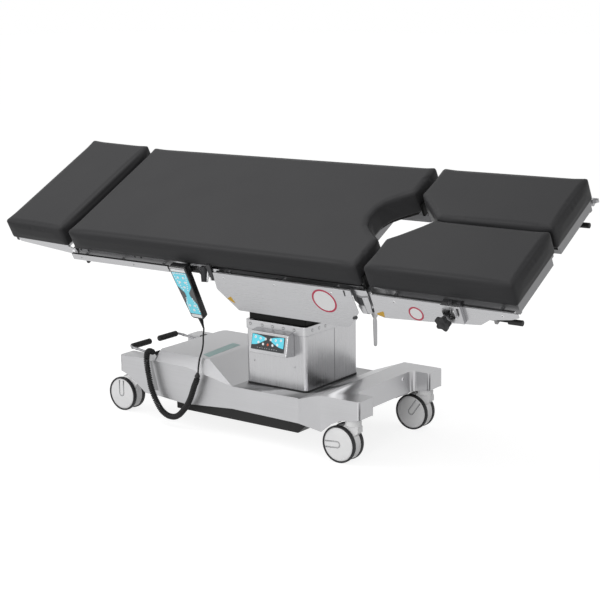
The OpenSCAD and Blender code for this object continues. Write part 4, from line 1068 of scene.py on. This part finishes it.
def build_fittings():
    """Small plates and screws round the hinges, on both sides"""
    for side, mirror in SIDES:
        top = TOP @ mirror
        # Back hinge
        bm = bmesh.new()
        block(bm, (-288, -270, -104), (-240, -262.2, -86), 0)
        prism(bm, [(-262, -104), (-240, -104), (-240, -122), (-262, -124)], -268, -262.2, "y", 0)
        prism(bm, [(-243, -88), (-203, -86), (-236, -152), (-266, -155)], -272, -268.5, "y", 2)
        prism(bm, [(-207, -84), (-203, -86), (-236, -152), (-241, -152)], -273.5, -272, "y", 1)
        soften(bm, 0.8, 1)
        place_piece(bm, f"back_bracket_{side}", top, ["plate_steel", "bright_steel", "dark_metal"], "back")
        bm = bmesh.new()
        prism(bm, [(-208, -70), (-190, -68), (-194, -121), (-212, -124)], -278, -273, "y", 2)
        block(bm, (-192, -272, -106), (-160, -262.2, -88), 0)
        frame_of_slot = rounded([(-221, -121), (-182, -119), (-188, -147), (-227, -149)], 3, 3)
        prism(bm, frame_of_slot, -267.4, -262.2, "y", 1)
        # The slot is a dark sheet on the bracket's face, painted shade for its hollow
        slot = rounded([(-216, -125), (-186, -123), (-191, -143), (-220, -145)], 2, 3)
        prism(bm, slot, -268.1, -267.3, "y", 2)
        soften(bm, 0.8, 1)
        place_piece(bm, f"seat_bracket_{side}", top, ["plate_steel", "bright_steel", "dark_metal"], "seat")
        # Leg hinge
        bm = bmesh.new()
        lower = [(384, -158), (409, -158), (411, -187), (400, -190), (392, -190)]
        right = [(410, -124), (434, -120), (435.5, -150), (432, -178), (425, -188), (412, -184)]
        upper = [(389, -94), (436, -94), (436, -112), (410, -117), (391, -114)]
        # The dark sheet between the plates and the dark strip along the right plate's edge are painted
        # shadow in the hinge's gaps
        prism(bm, [(390, -124), (407, -127), (407, -154), (387, -154)], -275.3, -273.9, "y", 2)
        prism(bm, rounded(lower, [1, 1, 2, 4, 2], 3), -275.1, -273.9, "y", 0)
        prism(bm, rounded(right, [2, 2, 2, 2, 3, 2], 3), -275.2, -273.9, "y", 0)
        prism(bm, [(433.3, -122), (435.7, -122), (436.4, -150), (433, -179), (430.6, -179), (434, -150)],
              -275.4, -273.9, "y", 2)
        prism(bm, rounded(upper, 2, 3), -275.2, -273.9, "y", 0)
        block(bm, (398, -249, -188), (422, -241, -128), 0)
        soften(bm, 0.6, 1)
        place_piece(bm, f"leg_joint_plates_{side}", top, ["plate_steel", "bright_steel", "dark_metal"],
                    f"leg_link_{side}")
        bm = bmesh.new()
        screw(bm, (545, -292.8, -106), (0, -1, 0), 4.6, 1.4, 0, 1)
        screw(bm, (921, -292.8, -104), (0, -1, 0), 4.2, 1.4, 0, 1)
        screw(bm, (571, -285, -88.6), (0, 0, 1), 4.2, 1.6, 1, 1)
        place_piece(bm, f"leg_screws_{side}", top, ["bright_steel", "dark_metal"], f"leg_{side}")
        # A plate at the seat's end in steel darkened as painted shade, filling the gap where shadow lies
        # between the covers and the hinge
        bm = bmesh.new()
        prism(bm, [(366, -90), (400, -90), (398, -172), (386, -172), (366, -150)], -263.6, -262.1, "y")
        soften(bm, 0.6, 1)
        place_piece(bm, f"seat_end_plate_{side}", top, "cheek_steel", "seat")
        # Black edges of the boards in the gaps between the mats
        bm = bmesh.new()
        block(bm, (421, -262, -96), (430, -128, -50))
        soften(bm, 1, 2)
        place_piece(bm, f"seat_gap_{side}", top, "board_black", "seat")
        bm = bmesh.new()
        block(bm, (-843, -258, -92), (-834, -1, -64))
        soften(bm, 1, 2)
        place_piece(bm, f"head_gap_{side}", top, "board_black", "back")
        # Head section
        head = HEAD @ mirror
        bm = bmesh.new()
        prism(bm, [(-1136, -70), (-1126, -71), (-1126, -84), (-1136, -83)], -269, -267.8, "y", 1)
        lathe(bm, [(0.001, 3), (7, 3), (9, 1.5), (9, 0)], (-849, -268, -96.6), (0, -1, 0), 28, 0)
        screw(bm, (-849, -271, -96.6), (0, -1, 0), 5, 1.4, 0, 1)
        place_piece(bm, f"head_screws_{side}", head, ["bright_steel", "dark_metal"], "head")


def build_knobs():
    bm = bmesh.new()
    x, z = 731, -132.9
    rod(bm, (x, -292, z), (x, -320.5, z), 5, index=1)
    lobes = []
    for k in range(60):
        a = 2 * math.pi * k / 60
        radius = 22.5 + 4.0 * math.cos(5 * a)
        lobes.append((x + radius * math.cos(a), z + radius * math.sin(a)))
    prism(bm, lobes, -337.6, -320, "y")
    soften(bm, 3, 3, 50)
    lathe(bm, [(0.001, 2), (8, 2), (10, 0.5), (10, 0)], (x, -337.6, z), (0, -1, 0), 32)
    place_piece(bm, "star_grip", TOP, ["black_plastic", "bright_steel"], "knob",
                "star_knob")
    bm = bmesh.new()
    # The clamp's face: the bright steel triangle is a painted highlight on its lit side, the dark strip
    # beside it is a painted shadow in the gap, and the two dark blocks on top are painted shade in the
    # hook's recesses
    prism(bm, rounded([(726, -92), (757, -91), (752, -113), (724, -117)], 2, 3), -308.2, -306.8, "y", 0)
    prism(bm, [(767, -91), (746, -129), (770, -126)], -310.5, -306.8, "y", 1)
    prism(bm, [(775, -87), (783.5, -86.5), (782, -110), (777, -120)], -307.3, -306.7, "y", 2)
    block(bm, (745, -296, -80.6), (758, -285, -74), 2)
    block(bm, (778, -296, -80.6), (788, -285, -73.5), 2)
    soften(bm, 0.6, 1)
    place_piece(bm, "clamp_plates", TOP, ["rail_steel", "bright_steel", "dark_metal"], "clamp")
    bm = bmesh.new()
    lathe(bm, [(0.001, 0), (5, 0), (7, 2), (7, 12), (5.5, 14), (3, 14), (3, 48), (0.001, 48)],
          (-813, -256, -150.6), (0, 0, 1), 28)
    place_piece(bm, "head_catch_knob", TOP, "black_plastic", "head_catch", "head_lock")
    for side, mirror in SIDES:
        bm = bmesh.new()
        lathe(bm, [(0.001, -22), (7.5, -22), (9, -20.5), (9, -1.5), (7.5, 0), (0.001, 0)],
              (424, -228, -125.9), (0, 0, 1), 28)
        start, end = Vector((424, -228, -139.6)), Vector((400, -276, -318.6))
        grip = [(0.001, 190.5), (3, 189.8), (4.8, 187.5), (5.6, 184), (5.9, 175), (6.6, 130), (6.8, 100),
                (5.6, 92), (4, 84), (4, 0)]
        lathe(bm, grip, start, end - start, 28)
        funnel = [(4, 85), (7.5, 85), (8.2, 83), (15.2, 63), (16, 61), (15, 59.5), (4, 59.5)]
        lathe(bm, funnel, start, end - start, 32, 1)
        place_piece(bm, f"lock_lever_{side}", TOP @ mirror, ["lever_steel", "strip_steel"],
                    f"lever_{side}", f"leg_lever_{side}")


def build_handset():
    place = TOP @ Matrix.Translation((-0.311, -0.299, -0.066))
    bm = bmesh.new()
    outline = [(-38, 0), (-37, -60), (-28, -228), (28, -228), (37, -60), (38, 0)]
    prism(bm, rounded(outline, [10, 60, 10, 10, 60, 10], 6), -12.6, 12.6, "y")
    soften(bm, 4, 4, 50)
    lean = math.radians(8)
    tip = Vector((-52 * math.sin(lean), 0, -226 - 52 * math.cos(lean)))
    ribs = [(0.001, 0), (3.4, 0), (3.9, 6), (4.8, 12), (4.4, 14), (5.4, 17), (5.0, 19), (6.1, 22),
            (5.7, 24), (6.9, 27), (6.5, 29), (7.7, 33), (7.3, 35), (8.6, 39), (8.2, 41), (10, 47), (10, 54)]
    lathe(bm, ribs, tip, Vector((0, 0, -226)) - tip, 28)
    place_piece(bm, "handset_case", place, "gloss_black", "remote", "handset")
    bm = bmesh.new()
    face = [(-36, -4), (-35, -60), (-26, -224), (26, -224), (35, -60), (36, -4)]
    prism(bm, rounded(face, [6, 40, 7, 7, 40, 6], 5), -13.1, -12.2, "y", 0)
    # Grey bevel along the top edge, a white band with a faint painted glow, and the lit field with its
    # narrow middle
    prism(bm, [(-33, -3), (33, -3), (33, -9), (-33, -9)], -13.5, -12.9, "y", 3)
    prism(bm, rounded([(-32, -11), (32, -11), (32, -21), (-32, -21)], 2, 3), -13.45, -12.9, "y", 2)
    lit = [(-32, -24), (-31, -84), (-9, -112), (-9, -128), (-24, -160), (-24, -204), (24, -204),
           (26, -160), (9, -128), (9, -112), (31, -84), (32, -24)]
    prism(bm, rounded(lit, [3, 8, 8, 8, 10, 3, 3, 10, 8, 8, 8, 3], 4), -13.4, -12.9, "y", 1)
    prism(bm, rounded([(-23, -207), (23, -207), (22, -220), (-22, -220)], 3, 4), -13.45, -12.9, "y", 2)
    dots = [(-26 + 7.4 * k, -28) for k in range(8)]
    dots += [(sx * (28 - 2.6 * k), -34 - 9.4 * k) for k in range(8) for sx in (-1, 1)]
    dots += [(sx * (14 + 1.6 * k), -136 - 9.0 * k) for k in range(7) for sx in (-1, 1)]
    for x, z in dots:
        lathe(bm, [(0.001, 0.8), (2.2, 0.7), (2.7, 0.2), (2.7, -0.2)], (x, -13.4, z), (0, -1, 0), 12, 2)
    buttons = ((-12, -46), (12, -46), (-12, -66), (12, -66), (0, -88), (-11, -168), (11, -168), (0, -188))
    for x, z in buttons:
        lathe(bm, [(0.001, 0.9), (4.2, 0.8), (5.0, 0.3), (5.0, -0.2)], (x, -13.4, z), (0, -1, 0), 18, 2)
    place_piece(bm, "handset_face", place, ["screen_dark", "screen_cyan", "painted_glow_white", "strip_steel"],
                "remote")
    bm = bmesh.new()
    lathe(bm, [(0.001, 6), (5, 6), (7, 4), (7, 0)], (-36.5, 0, -80), (-1, 0, 0), 24)
    place_piece(bm, "handset_button", place, "black_plastic", "remote")
    copy_node("handset_holder", "handset_hook", "black_plastic", "back", 1.2)


# Stage

def build_stage():
    scene = bpy.context.scene
    bm = bmesh.new()
    bmesh.ops.create_grid(bm, x_segments=1, y_segments=1, size=40)
    mesh = to_mesh(bm)
    floor = bpy.data.objects.new("floor", mesh)
    scene.collection.objects.link(floor)
    material = bpy.data.materials.new("floor")
    material.use_nodes = True
    tree = material.node_tree
    tree.nodes.clear()
    out = tree.nodes.new("ShaderNodeOutputMaterial")
    diffuse = tree.nodes.new("ShaderNodeBsdfDiffuse")
    diffuse.inputs["Color"].default_value = (0.34, 0.34, 0.34, 1)
    glow = tree.nodes.new("ShaderNodeEmission")
    rays = tree.nodes.new("ShaderNodeLightPath")
    seen = tree.nodes.new("ShaderNodeMath")
    seen.operation = "MAXIMUM"
    tree.links.new(rays.outputs["Is Camera Ray"], seen.inputs[0])
    tree.links.new(rays.outputs["Is Glossy Ray"], seen.inputs[1])
    strength = tree.nodes.new("ShaderNodeMath")
    strength.operation = "MULTIPLY"
    strength.inputs[1].default_value = 0.835
    tree.links.new(seen.outputs[0], strength.inputs[0])
    tree.links.new(strength.outputs[0], glow.inputs["Strength"])
    add = tree.nodes.new("ShaderNodeAddShader")
    tree.links.new(diffuse.outputs[0], add.inputs[0])
    tree.links.new(glow.outputs[0], add.inputs[1])
    tree.links.new(add.outputs[0], out.inputs["Surface"])
    mesh.materials.append(material)

    world = bpy.data.worlds.new("world")
    scene.world = world
    world.use_nodes = True
    tree = world.node_tree
    tree.nodes.clear()
    out = tree.nodes.new("ShaderNodeOutputWorld")
    rays = tree.nodes.new("ShaderNodeLightPath")
    seen = tree.nodes.new("ShaderNodeMath")
    seen.operation = "MAXIMUM"
    more = tree.nodes.new("ShaderNodeMath")
    more.operation = "MAXIMUM"
    tree.links.new(rays.outputs["Is Camera Ray"], seen.inputs[0])
    tree.links.new(rays.outputs["Is Glossy Ray"], seen.inputs[1])
    tree.links.new(seen.outputs[0], more.inputs[0])
    tree.links.new(rays.outputs["Is Transmission Ray"], more.inputs[1])
    light = tree.nodes.new("ShaderNodeBackground")
    light.inputs["Color"].default_value = (1, 1, 1, 1)
    light.inputs["Strength"].default_value = 0.5
    white = tree.nodes.new("ShaderNodeBackground")
    white.inputs["Color"].default_value = (1, 1, 1, 1)
    white.inputs["Strength"].default_value = 1.0
    mix = tree.nodes.new("ShaderNodeMixShader")
    tree.links.new(more.outputs[0], mix.inputs["Fac"])
    tree.links.new(light.outputs[0], mix.inputs[1])
    tree.links.new(white.outputs[0], mix.inputs[2])
    tree.links.new(mix.outputs[0], out.inputs["Surface"])

    for name, at, to, size, power in (
        ("top", (-1.2, -0.5, 3.7), (-0.2, 0, 0.8), 2.4, 46),
        ("left", (-3.6, -2.6, 1.9), (0, 0, 0.4), 2.2, 30),
        ("front", (1.5, -4.4, 1.1), (0.1, 0, 0.4), 1.3, 52),
    ):
        data = bpy.data.lights.new(name, "AREA")
        data.shape = "SQUARE"
        data.size = size
        data.energy = power
        lamp = bpy.data.objects.new(name, data)
        lamp.matrix_world = Matrix.Translation(at) @ (Vector(to) - Vector(at)).to_track_quat("-Z",
                "Y").to_matrix().to_4x4()
        scene.collection.objects.link(lamp)
    scene.view_settings.view_transform = "Standard"


# Add-on

class TableSizes(bpy.types.PropertyGroup):
    """Sizes that a user may change"""
    mat_edge: bpy.props.FloatProperty(name="Mat edge", description="Radius of the mats' edges",
                                      default=0.006, min=0.002, max=0.02, unit="LENGTH")
    swell: bpy.props.FloatProperty(name="Mat swell", description="How far a mat's cover may stand proud",
                                   default=0.003, min=0, max=0.01, unit="LENGTH")


class TableColours(bpy.types.PropertyGroup):
    """Colours that a user may change"""
    steel: bpy.props.FloatVectorProperty(name="Steel", description="Brushed steel", subtype="COLOR",
                                         default=(0.475, 0.475, 0.485), min=0, max=1)
    mat: bpy.props.FloatVectorProperty(name="Mats", description="Coated upholstery", subtype="COLOR",
                                       default=(0.035, 0.035, 0.0365), min=0, max=1)
    screen: bpy.props.FloatVectorProperty(name="Screens", description="Lit part of the screens",
                                          subtype="COLOR", default=(0.1, 0.6, 0.74), min=0, max=1)


class TABLE_OT_finishes(bpy.types.Operator):
    """Makes the materials"""
    bl_idname = "table.finishes"
    bl_label = "Finishes"

    def execute(self, context):
        build_finishes(context.scene.table_colours)
        return {"FINISHED"}


class TABLE_OT_cords(bpy.types.Operator):
    """Sets the camera and hangs the handset's lead and curled cord"""
    bl_idname = "table.cords"
    bl_label = "Camera and cords"

    def execute(self, context):
        build_camera()
        build_cords()
        return {"FINISHED"}


class TABLE_OT_mats(bpy.types.Operator):
    """Makes the padded mats of the head, body and legs"""
    bl_idname = "table.mats"
    bl_label = "Mats"

    def execute(self, context):
        build_mats(context.scene.table_sizes)
        return {"FINISHED"}


class TABLE_OT_base(bpy.types.Operator):
    """Makes the base cover, tray and gland"""
    bl_idname = "table.base"
    bl_label = "Base"

    def execute(self, context):
        build_base()
        return {"FINISHED"}


class TABLE_OT_column(bpy.types.Operator):
    """Makes the column's covers and cap"""
    bl_idname = "table.column"
    bl_label = "Column"

    def execute(self, context):
        build_column()
        return {"FINISHED"}


class TABLE_OT_panel(bpy.types.Operator):
    """Makes the control panel and its screen"""
    bl_idname = "table.panel"
    bl_label = "Control panel"

    def execute(self, context):
        build_panel()
        return {"FINISHED"}


class TABLE_OT_casters(bpy.types.Operator):
    """Makes the four twin-wheel casters"""
    bl_idname = "table.casters"
    bl_label = "Casters"

    def execute(self, context):
        build_casters()
        return {"FINISHED"}


class TABLE_OT_pedals(bpy.types.Operator):
    """Makes the two foot levers"""
    bl_idname = "table.pedals"
    bl_label = "Pedals"

    def execute(self, context):
        build_pedals()
        return {"FINISHED"}


class TABLE_OT_rails(bpy.types.Operator):
    """Makes the side rails and seat covers"""
    bl_idname = "table.rails"
    bl_label = "Rails"

    def execute(self, context):
        build_rails()
        return {"FINISHED"}


class TABLE_OT_frames(bpy.types.Operator):
    """Dresses the frames of the sections"""
    bl_idname = "table.frames"
    bl_label = "Frames"

    def execute(self, context):
        build_frames()
        return {"FINISHED"}


class TABLE_OT_fittings(bpy.types.Operator):
    """Makes the plates and screws round the hinges"""
    bl_idname = "table.fittings"
    bl_label = "Fittings"

    def execute(self, context):
        build_fittings()
        return {"FINISHED"}


class TABLE_OT_knobs(bpy.types.Operator):
    """Makes the clamp knob, catch and locking levers"""
    bl_idname = "table.knobs"
    bl_label = "Knobs"

    def execute(self, context):
        build_knobs()
        return {"FINISHED"}


class TABLE_OT_handset(bpy.types.Operator):
    """Makes the handset and its hook"""
    bl_idname = "table.handset"
    bl_label = "Handset"

    def execute(self, context):
        build_handset()
        return {"FINISHED"}


class TABLE_OT_stage(bpy.types.Operator):
    """Makes the floor, lights and world"""
    bl_idname = "table.stage"
    bl_label = "Stage"

    def execute(self, context):
        build_stage()
        return {"FINISHED"}


# The operators in the order in which they run; camera and cords come before the rest of the pieces
STEPS = [
    TABLE_OT_finishes,
    TABLE_OT_cords,
    TABLE_OT_mats,
    TABLE_OT_base,
    TABLE_OT_column,
    TABLE_OT_panel,
    TABLE_OT_casters,
    TABLE_OT_pedals,
    TABLE_OT_rails,
    TABLE_OT_frames,
    TABLE_OT_fittings,
    TABLE_OT_knobs,
    TABLE_OT_handset,
    TABLE_OT_stage,
]


class TABLE_PT_sidebar(bpy.types.Panel):
    """Lists the steps that build the table"""
    bl_label = "Operating table"
    bl_idname = "TABLE_PT_sidebar"
    bl_space_type = "VIEW_3D"
    bl_region_type = "UI"
    bl_category = "Operating table"

    def draw(self, context):
        for group in (context.scene.table_sizes, context.scene.table_colours):
            for name in group.__annotations__:
                self.layout.prop(group, name)
        for step in STEPS:
            self.layout.operator(step.bl_idname)


CLASSES = [TableSizes, TableColours, *STEPS, TABLE_PT_sidebar]


def register():
    for c in CLASSES:
        bpy.utils.register_class(c)
    bpy.types.Scene.table_sizes = bpy.props.PointerProperty(type=TableSizes)
    bpy.types.Scene.table_colours = bpy.props.PointerProperty(type=TableColours)


def unregister():
    del bpy.types.Scene.table_sizes
    del bpy.types.Scene.table_colours
    for c in reversed(CLASSES):
        bpy.utils.unregister_class(c)


def main():
    register()
    for step in STEPS:
        getattr(bpy.ops.table, step.bl_idname.split(".")[1])()


if __name__ == "__main__":
    main()
